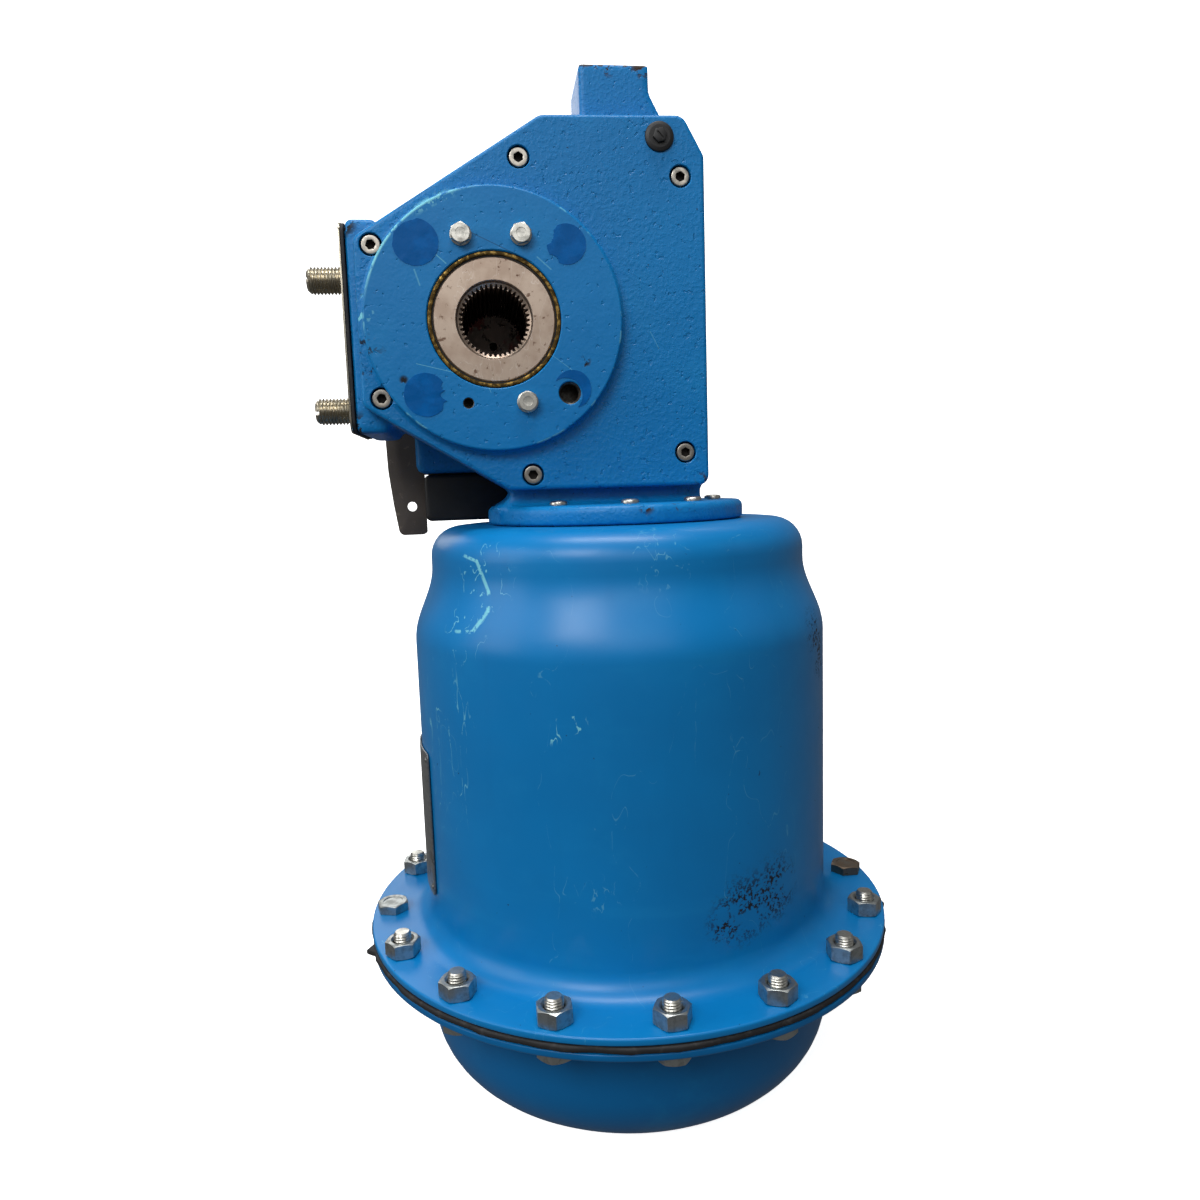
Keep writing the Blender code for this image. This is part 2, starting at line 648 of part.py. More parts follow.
def make_diaphragm():
    """The rubber rolling diaphragm at rest: clamped rim, sleeve along the lower casing, floor under the piston."""
    rim_top = CASING_Z - FLANGE_T - GAP
    rim_low = rim_top - FLANGE_T
    outer = [(FLANGE_R + 1.5, rim_top - 1), (FLANGE_R + 1.5, rim_low + 1), (FLANGE_R, rim_low), (156, rim_low)]
    outer += [(152, rim_low - 4), (148, 52)]
    outer += arc((112, 46), 36, 0, -90, 3)
    outer += [(52, 10)]
    inner = [(52, 13), (112, 13)] + arc((112, 46), 33, -90, 0, 3) + [(149, rim_low - 2), (152, rim_top)]
    profile = [(FLANGE_R, rim_top)] + outer + inner
    diaphragm = part("diaphragm", turned("diaphragm", profile, ROUND_SIDES, closed=True), BLACK_RUBBER)
    cut(diaphragm, cutter("diaphragm_holes", cylinders("diaphragm_holes", casing_bolt_holes())))


def make_casing_bolts():
    """Bolt and nut as one body round the middle of the flange stack; an inverted one is turned over."""
    half = (3 * FLANGE_T + 2 * GAP) / 2
    nut = cylinders("nut", [(NUT_FLATS / 2 * 1.1547, (0, 0, half + GAP), (0, 0, half + GAP + NUT_T), 6)])
    head = cylinders("head", [(NUT_FLATS / 2 * 1.1547, (0, 0, -half - GAP - HEAD_T), (0, 0, -half - GAP), 6)])
    top = half + GAP + NUT_T + 5.5
    shank = turned("shank", ((0, top), (BOLT_R - 1, top), (BOLT_R, top - 1), (BOLT_R, -half - 4), (0, -half - 4)), 8)
    mesh = united("casing_bolt", [shank, nut, head])
    middle = CASING_Z - half
    for index in range(BOLTS):
        angle = 360 * index / BOLTS
        x, y = polar(BOLT_CIRCLE_R, angle)
        over = math.pi if index in INVERTED_BOLTS else 0.0
        turn = (over, 0, math.radians(angle + 17 * index))
        part(f"casing_bolt_{index + 1:02d}", mesh, ZINC_STEEL, mm(x, y, middle), turn)


# --- Piston and spring -----------------------------------------------------------------------------
def make_piston():
    z = PISTON_Z
    cup = ((0, z + PISTON_T), (38, z + PISTON_T), (38, z + 32), (46, z + 32), (46, z + PISTON_T),
           (PISTON_R - 5, z + PISTON_T), (PISTON_R - 5, z + 44), (PISTON_R, z + 44), (PISTON_R, z + 3),
           (PISTON_R - 3, z), (0, z))
    part("diaphragm_plate", turned("diaphragm_plate", cup, ROUND_SIDES), PAINT)
    clamp = turned("clamp_disc", ((0, z - GAP), (48, z - GAP), (48, 9.5), (0, 9.5)), 28)
    part("clamp_disc", clamp, ZINC_STEEL)


def make_spring():
    low = PISTON_Z + PISTON_T + GAP + SPRING_WIRE_R
    high = seat_low() - GAP - SPRING_WIRE_R
    steps = 12
    curve = bpy.data.curves.new("spring", "CURVE")
    curve.dimensions = "3D"
    curve.bevel_depth = mm(SPRING_WIRE_R)
    curve.bevel_resolution = 1
    curve.use_fill_caps = True
    spline = curve.splines.new("POLY")
    count = SPRING_TURNS * steps + 1
    spline.points.add(count - 1)
    for index, point in enumerate(spline.points):
        share = index / (count - 1)
        x, y = polar(SPRING_R, 360 * SPRING_TURNS * share)
        point.co = (*mm(x, y, low + (high - low) * share), 1.0)
    spring = bpy.data.objects.new("spring", curve)
    curve.materials.append(ZINC_STEEL)
    PARTS.objects.link(spring)


def seat_low():
    return CASING_Z + BARREL_TOP - SHELL - GAP - SEAT_T


def make_spring_seat():
    low = seat_low()
    high = low + SEAT_T
    profile = ((66, high), (120, high), (120, low - 12), (115, low - 12), (115, low), (66, low))
    part("spring_seat", turned("spring_seat", profile, 24, closed=True), ZINC_STEEL)


# --- Fasteners and side pieces ---------------------------------------------------------------------
def make_neck_screws():
    top = NECK_Z + NECK_T
    profile = ((0, top + 3.6), (4.6, top + 3.6), (6.4, top + 2.0), (6.4, top + GAP), (4.8, top + GAP),
               (4.8, NECK_Z - 3.6), (0, NECK_Z - 3.6))
    mesh = turned("neck_screw", profile, 8)
    for index, angle in enumerate(NECK_SCREW_ANGLES, 1):
        x, y = polar(NECK_SCREW_R, angle)
        part(f"neck_screw_{index}", mesh, ZINC_STEEL, mm(x, y, 0))


def make_stop_screws():
    tip = SHAFT_X - STOP_FLAT - GAP
    length = tip - STOP_TIP_X
    for name, z in zip(("stop_screw_upper", "stop_screw_lower"), STOP_Z):
        profile = ((0, 0), (STOP_R - 1.2, 0), (STOP_R, -1.2), (STOP_R, -length + 4), (STOP_R - 4, -length),
                   (0, -length))
        screw = part(name, turned(name, profile, 18), ZINC_STEEL, mm(STOP_TIP_X, STOP_Y, z),
                     (0, math.radians(-90), 0))
        slot = cutter(f"{name}_slot", box(f"{name}_slot", (STOP_TIP_X - 2, STOP_Y - 12, z - 1.25),
                                          (STOP_TIP_X + 3, STOP_Y + 12, z + 1.25)))
        cut(screw, slot)


def make_side_plate():
    """Gasket and thin plate on the stop pad, with clearance holes for the stop screws."""
    x = PAD_FACE_X - GAP
    for name, thickness, border, finish in (("side_gasket", 2.0, 2.0, BLACK_RUBBER),
                                            ("side_plate", 1.5, 1.0, BARE_STEEL)):
        low = (x - thickness, PAD_Y[0] + border, PAD_Z[0] + border)
        high = (x, PAD_Y[1] - border, PAD_Z[1] - border)
        piece = part(name, box(name, low, high), finish)
        holes = [(STOP_R + GAP, (x - 20, STOP_Y, z), (x + 20, STOP_Y, z), 20) for z in STOP_Z]
        cut(piece, cutter(f"{name}_holes", cylinders(f"{name}_holes", holes)))
        x -= thickness + GAP


def make_nameplate():
    low, high = NAMEPLATE_Z
    inner, outer = BARREL_R + GAP + 0.2, BARREL_R + GAP + 1.4
    start, end = NAMEPLATE_ANGLES
    steps = 8
    outline = arc((0, 0), outer, start, end, steps) + arc((0, 0), inner, end, start, steps)
    part("nameplate", outline_mesh("nameplate", outline, low, high, plane="XY"), BARE_STEEL)


# --- Positioner ------------------------------------------------------------------------------------
def make_positioner():
    bracket = part("positioner_bracket", box("positioner_bracket", (BRACKET_X[0], BRACKET_Y[0], BRACKET_Z[0]),
                                             (BRACKET_X[1], BRACKET_Y[1], BRACKET_Z[1]), 6), CAST_PAINT)
    boss_room = cylinders("boss_room", [(REAR_BOSS_R + 0.5, (SHAFT_X, 30, SHAFT_Z),
                                         (SHAFT_X, REAR_BOSS_Y + GAP, SHAFT_Z), 40),
                                        (12, (SHAFT_X, 30, SHAFT_Z), (SHAFT_X, 100, SHAFT_Z), 20)])
    cut(bracket, cutter("boss_room", boss_room), overlapping=True)

    plate = part("positioner_plate", outline_mesh("positioner_plate", PLATE_OUTLINE, *PLATE_Y), DARK_PAINT)
    x, z = PLATE_HOLE
    holes = cylinders("plate_holes", [(4, (x, 70, z), (x, 95, z), 14),
                                      (12, (SHAFT_X, 70, SHAFT_Z), (SHAFT_X, 95, SHAFT_Z), 20)])
    cut(plate, cutter("plate_holes", holes))
    low, high = FRONT_BLOCK
    cut(plate, cutter("plate_notch", box("plate_notch", (low[0] - GAP, 70, 400), (high[0] + GAP, 95, high[2] + GAP))))

    case = part("positioner_case", box("positioner_case", *CASE_BOX, 5), BLACK_PLASTIC)
    for name, block in (("front_block", FRONT_BLOCK), ("low_block", LOW_BLOCK)):
        join(case, cutter(name, box(name, *block, 3)))
    room = cylinders("spindle_room", [(12, (SHAFT_X, 70, SHAFT_Z), (SHAFT_X, 96, SHAFT_Z), 20)])
    cut(case, cutter("spindle_room", room))


def make_air_fitting():
    """A straight air fitting on the rear of the lower casing."""
    start = DISH_WALL_R + 1.8
    profile = ((3.5, start + 26), (6, start + 26), (6, start + 14), (9, start + 13.5), (9, start + 2), (3.5, start + 2))
    fitting = turned("air_fitting", profile, 16, closed=True)
    turn = Matrix.Rotation(math.radians(PORT_ANGLE - 90), 4, "Z") @ Matrix.Rotation(math.radians(-90), 4, "X")
    fitting.transform(Matrix.Translation(mm(0, 0, PORT_Z)) @ turn)
    part("air_fitting", fitting, BRASS_METAL)


def main():
    make_housing()
    make_cover()
    make_cover_screws()
    make_vent_plug()
    make_pad_bolts()
    make_bushings()
    make_lever()
    make_hub_fittings()
    make_link()
    make_barrel()
    make_lower_casing()
    make_diaphragm()
    make_casing_bolts()
    make_piston()
    make_spring()
    make_spring_seat()
    make_neck_screws()
    make_stop_screws()
    make_side_plate()
    make_nameplate()
    make_positioner()
    make_air_fitting()


main()
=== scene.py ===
"""Looks of the spring-and-diaphragm quarter-turn actuator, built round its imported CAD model.

Lengths are in millimetres in the model's own frame, +Z up, valve side towards -Y; MM makes them metres.
"""
import math
import random

import bmesh
import bpy
import numpy as np
from mathutils import Matrix, Vector, noise


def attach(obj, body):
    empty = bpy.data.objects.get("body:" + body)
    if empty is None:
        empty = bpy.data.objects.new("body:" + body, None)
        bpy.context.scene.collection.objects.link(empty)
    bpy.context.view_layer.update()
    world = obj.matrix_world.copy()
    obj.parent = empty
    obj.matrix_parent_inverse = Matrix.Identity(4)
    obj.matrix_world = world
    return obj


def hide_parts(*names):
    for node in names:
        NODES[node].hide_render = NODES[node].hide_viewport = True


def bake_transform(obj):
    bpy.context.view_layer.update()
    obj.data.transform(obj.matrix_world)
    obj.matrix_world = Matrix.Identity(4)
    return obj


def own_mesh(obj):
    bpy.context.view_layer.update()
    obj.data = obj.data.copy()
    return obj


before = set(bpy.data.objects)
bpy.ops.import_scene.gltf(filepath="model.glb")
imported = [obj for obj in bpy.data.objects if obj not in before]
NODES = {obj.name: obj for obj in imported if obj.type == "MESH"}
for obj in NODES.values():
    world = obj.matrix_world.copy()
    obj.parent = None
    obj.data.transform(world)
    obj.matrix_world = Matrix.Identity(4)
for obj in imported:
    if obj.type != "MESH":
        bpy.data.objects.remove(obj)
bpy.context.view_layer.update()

MM = 0.001

# --- Sizes the CAD model was built to -----------------------------------------------------------------
GAP = 0.3
CASING_Z = 122.0
FLANGE_R, FLANGE_T = 204.0, 5.0
BOLT_CIRCLE_R, BOLTS = 189.0, 16
INVERTED_BOLTS = (0, 8)
STACK_T = 3 * FLANGE_T + 2 * GAP
DISH_TOP_R, DISH_WALL_R, DISH_CORNER = 164.0, 160.0, 50.0
SHELL = 4.0
AIR_PORT_ANGLE, AIR_PORT_Z = 84.375, 66
BARREL_R, SHOULDER_R = 158.5, 143.5
BARREL_TOP_Z = 426.4
NECK_Z, NECK_T = 426.7, 14.0
NECK_SCREW_R = 76.0
NECK_SCREW_ANGLES = (-130, -90, -50, -10, 30, 70, 110)
SHAFT_X, SHAFT_Z = -88.4, 567.3
COVER_FRONT, COVER_BACK = -61.0, -45.8
OUTLINE = ((61, 452), (61, 678), (46.5, 704.5), (-52, 703.5), (-180.5, 624), (-181, 512.5), (-82.5, 452.3))
COVER_SCREWS = ((-67.4, 675.6), (43.8, 664.0), (-168.7, 618.8), (-167.4, 517.4), (-66, 462.8), (43.8, 475.6))
VENT_PLUG = (29.5, 689.5)
DISC_FRONT, DISC_R = -70.8, 87.5
DISC_PCD_R, DISC_HOLE_R = 70.0, 7.0
DISC_HOLE_ANGLES = (45, 135, 225, 315)
PAD_BOLT_R = 58.6
PAD_BOLT_ANGLES = (70, 110, -70)
EMPTY_PAD_HOLE_ANGLE = -110
BUSH_R, HUB_R = 45.0, 41.2
LEVER_REST_ANGLE = 45
PAD_FACE_X = -188.0
PAD_Y, PAD_Z = (-45.0, 57.0), (495.0, 640.5)
STOP_Y, STOP_Z, STOP_R, STOP_TIP_X = 2.0, (609.0, 514.7), 10.0, -222.0
STOP_INNER_X = -128.7
SPRING_FIXED_Z, SPRING_LOW_Z, SPRING_HIGH_Z = 415.8, 31.6, 406.8
PLATE_OUTLINE = ((-174, 417), (-177.9, 444), (-180.8, 471.5), (-181.4, 495), (-182, 560), (-176, 606),
                 (-158, 624), (8, 624), (8, 442), (-150, 442), (-150, 417))
PLATE_HOLE = (-162.5, 441.0)
# The front block is black case extended to fill the dark region under the bracket; it stands partly for the shade
# there.
FRONT_BLOCK = ((-150.5, 64, 428.5), (-79, 100, 467))
LOW_BLOCK = ((-148, 88, 428.5), (-58, 146, 455))


# --- Materials ----------------------------------------------------------------------------------------
def rgb(red, green, blue):
    """An 8-bit screen colour as the linear values a shader takes."""
    return tuple((c / 255 / 12.92) if c <= 10.31475 else ((c / 255 + 0.055) / 1.055) ** 2.4
                 for c in (red, green, blue))


class Finish:
    """One procedural material, built from the surface's own place on its piece."""

    def __init__(self, name, colour, roughness, metallic=0.0, **sockets):
        self.material = bpy.data.materials.new(name)
        self.material.use_nodes = True
        self.tree = self.material.node_tree
        self.shader = self.tree.nodes["Principled BSDF"]
        self.place = self.add("ShaderNodeTexCoord").outputs["Object"]
        self.colour = colour
        self.roughness = roughness
        self.height = None
        self.shader.inputs["Base Color"].default_value = (*colour, 1)
        self.shader.inputs["Roughness"].default_value = roughness
        self.shader.inputs["Metallic"].default_value = metallic
        for socket, value in sockets.items():
            self.shader.inputs[socket.replace("_", " ")].default_value = value

    def add(self, kind, values=(), **settings):
        node = self.tree.nodes.new(kind)
        for key, value in settings.items():
            setattr(node, key, value)
        for socket, value in values:
            self.feed(node.inputs[socket], value)
        return node

    def feed(self, socket, value):
        if isinstance(value, bpy.types.NodeSocket):
            self.tree.links.new(value, socket)
        elif isinstance(value, tuple) and len(value) == 3 and socket.type == "RGBA":
            socket.default_value = (*value, 1)
        else:
            socket.default_value = value

    def scaled(self, x, y, z):
        """The place stretched along each axis, for drawn-out patterns."""
        return self.add("ShaderNodeVectorMath", ((0, self.place), (1, (x, y, z))),
                        operation="MULTIPLY").outputs[0]

    def noise(self, scale, detail=2.0, rough=0.5, place=None, distortion=0.0):
        node = self.add("ShaderNodeTexNoise", (("Vector", place or self.place), ("Scale", scale), ("Detail", detail),
                                               ("Roughness", rough), ("Distortion", distortion)))
        return node.outputs[0]

    def maths(self, operation, a, b=0.0, clamp=False):
        return self.add("ShaderNodeMath", ((0, a), (1, b)), operation=operation, use_clamp=clamp).outputs[0]

    def step(self, value, low, high):
        """0 at low, 1 at high, smooth between; low may be above high."""
        node = self.add("ShaderNodeMapRange", (("Value", value), ("From Min", low), ("From Max", high)),
                        interpolation_type="SMOOTHSTEP")
        return node.outputs[0]

    def mix(self, share, a, b):
        node = self.add("ShaderNodeMix", ((0, share), (6, a), (7, b)), data_type="RGBA")
        return node.outputs[2]

    def near(self, point, radius, soft):
        """1 within a radius of a point in millimetres, 0 beyond it, soft wide at the edge."""
        apart = self.add("ShaderNodeVectorMath", ((0, self.place), (1, tuple(c * MM for c in point))),
                         operation="DISTANCE").outputs["Value"]
        return self.step(apart, (radius + soft) * MM, (radius - soft) * MM)

    def stroke(self, start, end, width):
        """1 along a straight scratch between two (x, z) places, seen along Y, thinning towards its ends."""
        a, b = Vector((start[0], 0, start[1])) * MM, Vector((end[0], 0, end[1])) * MM
        flat = self.add("ShaderNodeVectorMath", ((0, self.scaled(1, 0, 1)), (1, tuple(a))),
                        operation="SUBTRACT").outputs[0]
        along = self.add("ShaderNodeVectorMath", ((0, flat), (1, tuple((b - a) / (b - a).length_squared))),
                         operation="DOT_PRODUCT").outputs["Value"]
        held = self.add("ShaderNodeClamp", (("Value", along),)).outputs[0]
        foot = self.add("ShaderNodeVectorMath", ((0, tuple(b - a)), ("Scale", held)), operation="SCALE").outputs[0]
        apart = self.add("ShaderNodeVectorMath", ((0, flat), (1, foot)), operation="DISTANCE").outputs["Value"]
        return self.step(apart, width * MM, width * 0.4 * MM)

    def both(self, a, b):
        return self.maths("MULTIPLY", a, b)

    def either(self, *shares):
        found = shares[0]
        for share in shares[1:]:
            found = self.maths("MAXIMUM", found, share)
        return found

    def lay(self, share, colour, roughness=None):
        """Puts another colour, and its roughness, over what is there where share is 1."""
        self.colour = self.mix(share, self.colour, colour)
        if roughness is not None:
            keep = self.both(self.maths("SUBTRACT", 1.0, share), self.roughness)
            self.roughness = self.maths("ADD", keep, self.both(share, roughness))

    def raise_by(self, value, amount):
        """Adds to the bump: value from 0 to 1 stands amount millimetres high."""
        lifted = self.both(value, amount * MM)
        self.height = lifted if self.height is None else self.maths("ADD", self.height, lifted)

    def patches(self, scale, detail, rough, low, high, amount, colour, roughness=None):
        """Lays another colour where a noise is past its limits, amount strong."""
        self.lay(self.both(self.step(self.noise(scale, detail, rough), low, high), amount), colour, roughness)

    def bumps(self, scale, detail, rough, amount):
        self.raise_by(self.noise(scale, detail, rough), amount)

    def done(self):
        self.feed(self.shader.inputs["Base Color"], self.colour)
        self.feed(self.shader.inputs["Roughness"], self.roughness)
        if self.height is not None:
            bump = self.add("ShaderNodeBump", (("Height", self.height), ("Distance", 1.0), ("Strength", 1.0)))
            self.feed(self.shader.inputs["Normal"], bump.outputs[0])
        return self.material


PAINT_BLUE = rgb(1, 120, 186)
PAINT_WORN = rgb(28, 144, 200)
PAINT_DEEP = rgb(1, 98, 158)
CHIP_DARK = rgb(20, 24, 30)
CHIP_BROWN = rgb(50, 36, 30)
# Pale colour for scratches, also used for the painted highlight on the cover's left edge.
PALE_SCRATCH_AND_HIGHLIGHT = rgb(120, 200, 216)


def scratch_lines(finish, place, scale, width):
    """Thin wandering lines: where a noise passes its middle value."""
    apart = finish.maths("ABSOLUTE", finish.maths("SUBTRACT", finish.noise(scale, 3.0, 0.55, place), 0.5))
    return finish.step(apart, width, width * 0.35)


def add_paint_tone(finish, amount):
    """Slow and fine changes of tone that old sprayed paint shows."""
    slow = finish.step(finish.noise(7.0, 3.0, 0.6), 0.32, 0.68)
    finish.colour = finish.mix(finish.both(slow, amount), finish.colour, PAINT_DEEP)
    haze = finish.step(finish.noise(22.0, 4.0, 0.65), 0.5, 0.78)
    finish.colour = finish.mix(finish.both(haze, amount * 0.5), finish.colour, PAINT_WORN)
    rough = finish.noise(38.0, 3.0, 0.6)
    finish.roughness = finish.maths("ADD", finish.both(rough, 0.16), finish.roughness - 0.08)


def shaft_distance(finish):
    """How far the surface is from the shaft's axis, in metres."""
    return finish.add("ShaderNodeVectorMath", ((0, finish.scaled(1, 0, 1)), (1, (SHAFT_X * MM, 0, SHAFT_Z * MM))),
                      operation="DISTANCE").outputs["Value"]


def rough_cast(finish):
    """1 on the raw casting, 0.3 on the machined mounting disc."""
    return finish.add("ShaderNodeMapRange", (("Value", shaft_distance(finish)), ("From Min", DISC_R * MM),
                                             ("From Max", (DISC_R + 2) * MM), ("To Min", 0.3))).outputs[0]


def cast_paint(name, grain, chips=()):
    """Blue paint over a casting: a pebbled skin, pits, dust and chips down to primer."""
    finish = Finish(name, PAINT_BLUE, 0.42, Specular_IOR_Level=0.26, Coat_Weight=0.05, Coat_Roughness=0.25)
    add_paint_tone(finish, 0.34)
    finish.bumps(120.0, 2.0, 0.5, grain * 0.60)
    pebbles = finish.step(finish.noise(400.0, 2.0, 0.5), 0.40, 0.72)
    finish.raise_by(finish.both(pebbles, rough_cast(finish)), grain * 0.34)
    pits = finish.step(finish.noise(240.0, 1.0, 0.4), 0.33, 0.27)
    finish.raise_by(pits, -grain * 0.8)
    finish.lay(finish.both(pits, 0.35), PAINT_DEEP)
    specks = finish.both(finish.step(finish.noise(300.0, 2.0, 0.5), 0.765, 0.79), 0.75)
    finish.lay(specks, CHIP_DARK, 0.7)
    for point, radius, limit, colour in chips:
        patch = finish.both(finish.near(point, radius, radius * 0.5),
                            finish.step(finish.noise(150.0, 4.0, 0.6), limit, limit + 0.03))
        finish.lay(patch, colour, 0.75)
        finish.raise_by(patch, -0.12)
    return finish


def make_housing_paint():
    """Top boss and neck have chips down to brown metal along their edges."""
    chips = [((-22, -45, 742), 5, 0.47, CHIP_BROWN), ((-4, -46, 743), 8, 0.54, CHIP_BROWN),
             ((21, -46, 742), 8, 0.52, CHIP_BROWN), ((8, -98, 439), 5, 0.52, CHIP_BROWN),
             ((30, -95, 439), 4, 0.50, CHIP_BROWN), ((-188, -45, 500), 9, 0.52, CHIP_DARK),
             ((-188, -45, 636), 8, 0.52, CHIP_DARK), ((-60, -45, 703), 6, 0.55, CHIP_BROWN)]
    finish = cast_paint("cast_blue_paint", 0.42, chips)
    place = finish.add("ShaderNodeSeparateXYZ", ((0, finish.place),))
    rim = finish.both(finish.step(place.outputs[2], 0.7398, 0.7418), finish.step(place.outputs[1], -0.032, -0.042))
    finish.lay(finish.both(rim, finish.step(finish.noise(120.0, 4.0, 0.65), 0.45, 0.49)), CHIP_BROWN, 0.7)
    return finish.done()


def make_cover_paint():
    """The mounting disc's upper left edge is scraped, and a few straight scratches cross its face."""
    # The pale patch at (-178, -66, 575) on the cover's left edge is a painted highlight along that edge; the others
    # are chips.
    chips = [((-27.9, -70.8, 538.4), 3.5, 0.50, CHIP_DARK), ((-178, -66, 575), 10, 0.57, PALE_SCRATCH_AND_HIGHLIGHT),
             ((-151, -71, 528.5), 2.6, 0.42, CHIP_DARK), ((55, -61, 456), 4, 0.5, CHIP_BROWN),
             ((-178, -62, 545), 14, 0.58, CHIP_DARK)]
    finish = cast_paint("cover_blue_paint", 0.42, chips)
    apart = shaft_distance(finish)
    from_edge = finish.maths("ABSOLUTE", finish.maths("SUBTRACT", apart, (DISC_R - 0.7) * MM))
    scraped = finish.both(finish.step(from_edge, 0.0017, 0.0006), finish.near((-146, -71, 630), 46, 14))
    scraped = finish.both(scraped, finish.step(finish.noise(140.0, 4.0, 0.65), 0.40, 0.48))
    rub = finish.both(finish.step(from_edge, 0.006, 0.002), finish.near((-128, -70, 650), 15, 6))
    rub = finish.both(rub, finish.step(finish.noise(240.0, 4.0, 0.6, finish.scaled(1.0, 1.0, 0.6)), 0.50, 0.54))
    finish.lay(finish.either(finish.both(scraped, 0.9), finish.both(rub, 0.85)), PALE_SCRATCH_AND_HIGHLIGHT, 0.5)
    edge = finish.both(finish.step(from_edge, 0.0009, 0.0003), finish.step(finish.noise(60.0, 3.0, 0.6), 0.56, 0.62))
    finish.lay(finish.both(edge, 0.5), PALE_SCRATCH_AND_HIGHLIGHT, 0.5)
    for start, end, width, strength, tone in (
            ((-104, 625), (-62, 605), 0.35, 0.55, CHIP_DARK), ((-142, 539), (-118, 533), 0.30, 0.5, PALE_SCRATCH_AND_HIGHLIGHT),
            ((-128, 612), (-119, 604), 0.5, 0.5, PALE_SCRATCH_AND_HIGHLIGHT), ((-96, 527), (-93, 519), 0.3, 0.4, PALE_SCRATCH_AND_HIGHLIGHT),
            ((-58, 549), (-30, 528), 0.25, 0.4, PALE_SCRATCH_AND_HIGHLIGHT), ((-140, 600), (-137, 590), 0.7, 0.35, PALE_SCRATCH_AND_HIGHLIGHT),
            ((-58, 608), (-49, 600), 0.6, 0.35, PALE_SCRATCH_AND_HIGHLIGHT), ((20, 560), (26, 548), 0.3, 0.35, PALE_SCRATCH_AND_HIGHLIGHT)):
        finish.lay(finish.both(finish.stroke(start, end, width), strength), tone, 0.5)
    return finish.done()


def make_barrel_paint():
    """Smooth, glossier paint over pressed sheet, with pale scratches and two speckled patches of bare primer."""
    finish = Finish("smooth_blue_paint", PAINT_BLUE, 0.36, Specular_IOR_Level=0.30, Coat_Weight=0.10,
                    Coat_Roughness=0.24)
    add_paint_tone(finish, 0.30)
    bands = finish.noise(9.0, 4.0, 0.6, finish.scaled(0.5, 0.5, 4.0))
    finish.lay(finish.both(finish.step(bands, 0.55, 0.72), 0.16), PAINT_WORN)
    streaks = finish.noise(30.0, 3.0, 0.6, finish.scaled(1.0, 1.0, 0.12))
    finish.lay(finish.both(finish.step(streaks, 0.58, 0.74), 0.14), PAINT_DEEP)
    finish.bumps(420.0, 2.0, 0.5, 0.010)
    finish.bumps(26.0, 2.0, 0.5, 0.16)

    upright = scratch_lines(finish, finish.scaled(1.0, 1.0, 0.22), 34.0, 0.0045)
    loose = scratch_lines(finish, finish.scaled(1.0, 1.0, 0.6), 60.0, 0.010)
    broken = finish.step(finish.noise(95.0, 4.0, 0.7), 0.46, 0.54)
    marks = [((-108, -103, 395), 24, loose, 0.9), ((-120, -100, 360), 20, loose, 0.9),
             ((-139, -77, 300), 34, upright, 0.7), ((-135, -84, 246), 26, upright, 0.7),
             ((-66.3, -144, 299.8), 8, loose, 0.9), ((-49.5, -151, 305), 6, loose, 0.9),
             ((10, -146, 412), 24, loose, 0.35), ((65, -135, 412), 10, loose, 0.7),
             ((-40, -165, 190), 16, loose, 0.35), ((40, -155, 300), 26, upright, 0.30),
             ((112, 108, 300), 40, upright, 0.5), ((-60, 148, 220), 30, loose, 0.5)]
    for point, radius, lines, strength in marks:
        share = finish.both(finish.both(lines, broken), finish.near(point, radius, radius * 0.35))
        finish.lay(finish.both(share, strength), PALE_SCRATCH_AND_HIGHLIGHT, 0.5)
    scrape = finish.both(finish.near((-110, -103, 385), 34, 8), broken)
    corners = ((-121, 411), (-108, 406), (-101, 386), (-102, 374), (-113, 360), (-124, 359))
    for start, end in zip(corners, corners[1:]):
        finish.lay(finish.both(finish.both(finish.stroke(start, end, 1.5), scrape), 0.9), PALE_SCRATCH_AND_HIGHLIGHT, 0.5)
    fine = scratch_lines(finish, finish.scaled(1.0, 1.0, 0.5), 14.0, 0.0012)
    finish.lay(finish.both(finish.both(fine, broken), 0.22), PALE_SCRATCH_AND_HIGHLIGHT, 0.45)

    grains = finish.noise(430.0, 3.0, 0.65)
    clumps = finish.noise(70.0, 3.0, 0.6)
    speckle = finish.both(finish.step(grains, 0.50, 0.54), finish.step(clumps, 0.42, 0.52))
    for point, radius in (((58, -148, 170), 20), ((84, -136, 176), 20), ((44, -153, 163), 11),
                          ((130, -92, 345), 15), ((136, -84, 325), 12), ((-124, 98, 180), 18)):
        share = finish.both(speckle, finish.near(point, radius, radius * 0.6))
        finish.lay(share, CHIP_DARK, 0.7)
        finish.raise_by(share, -0.08)
    drum = finish.both(finish.near((43.9, -143, 424), 5, 2), finish.step(finish.noise(170.0, 3.0, 0.6), 0.44, 0.47))
    finish.lay(drum, CHIP_BROWN, 0.7)
    specks = finish.both(finish.step(finish.noise(260.0, 2.0, 0.5), 0.765, 0.79), 0.7)
    finish.lay(specks, CHIP_DARK, 0.7)
    return finish.done()


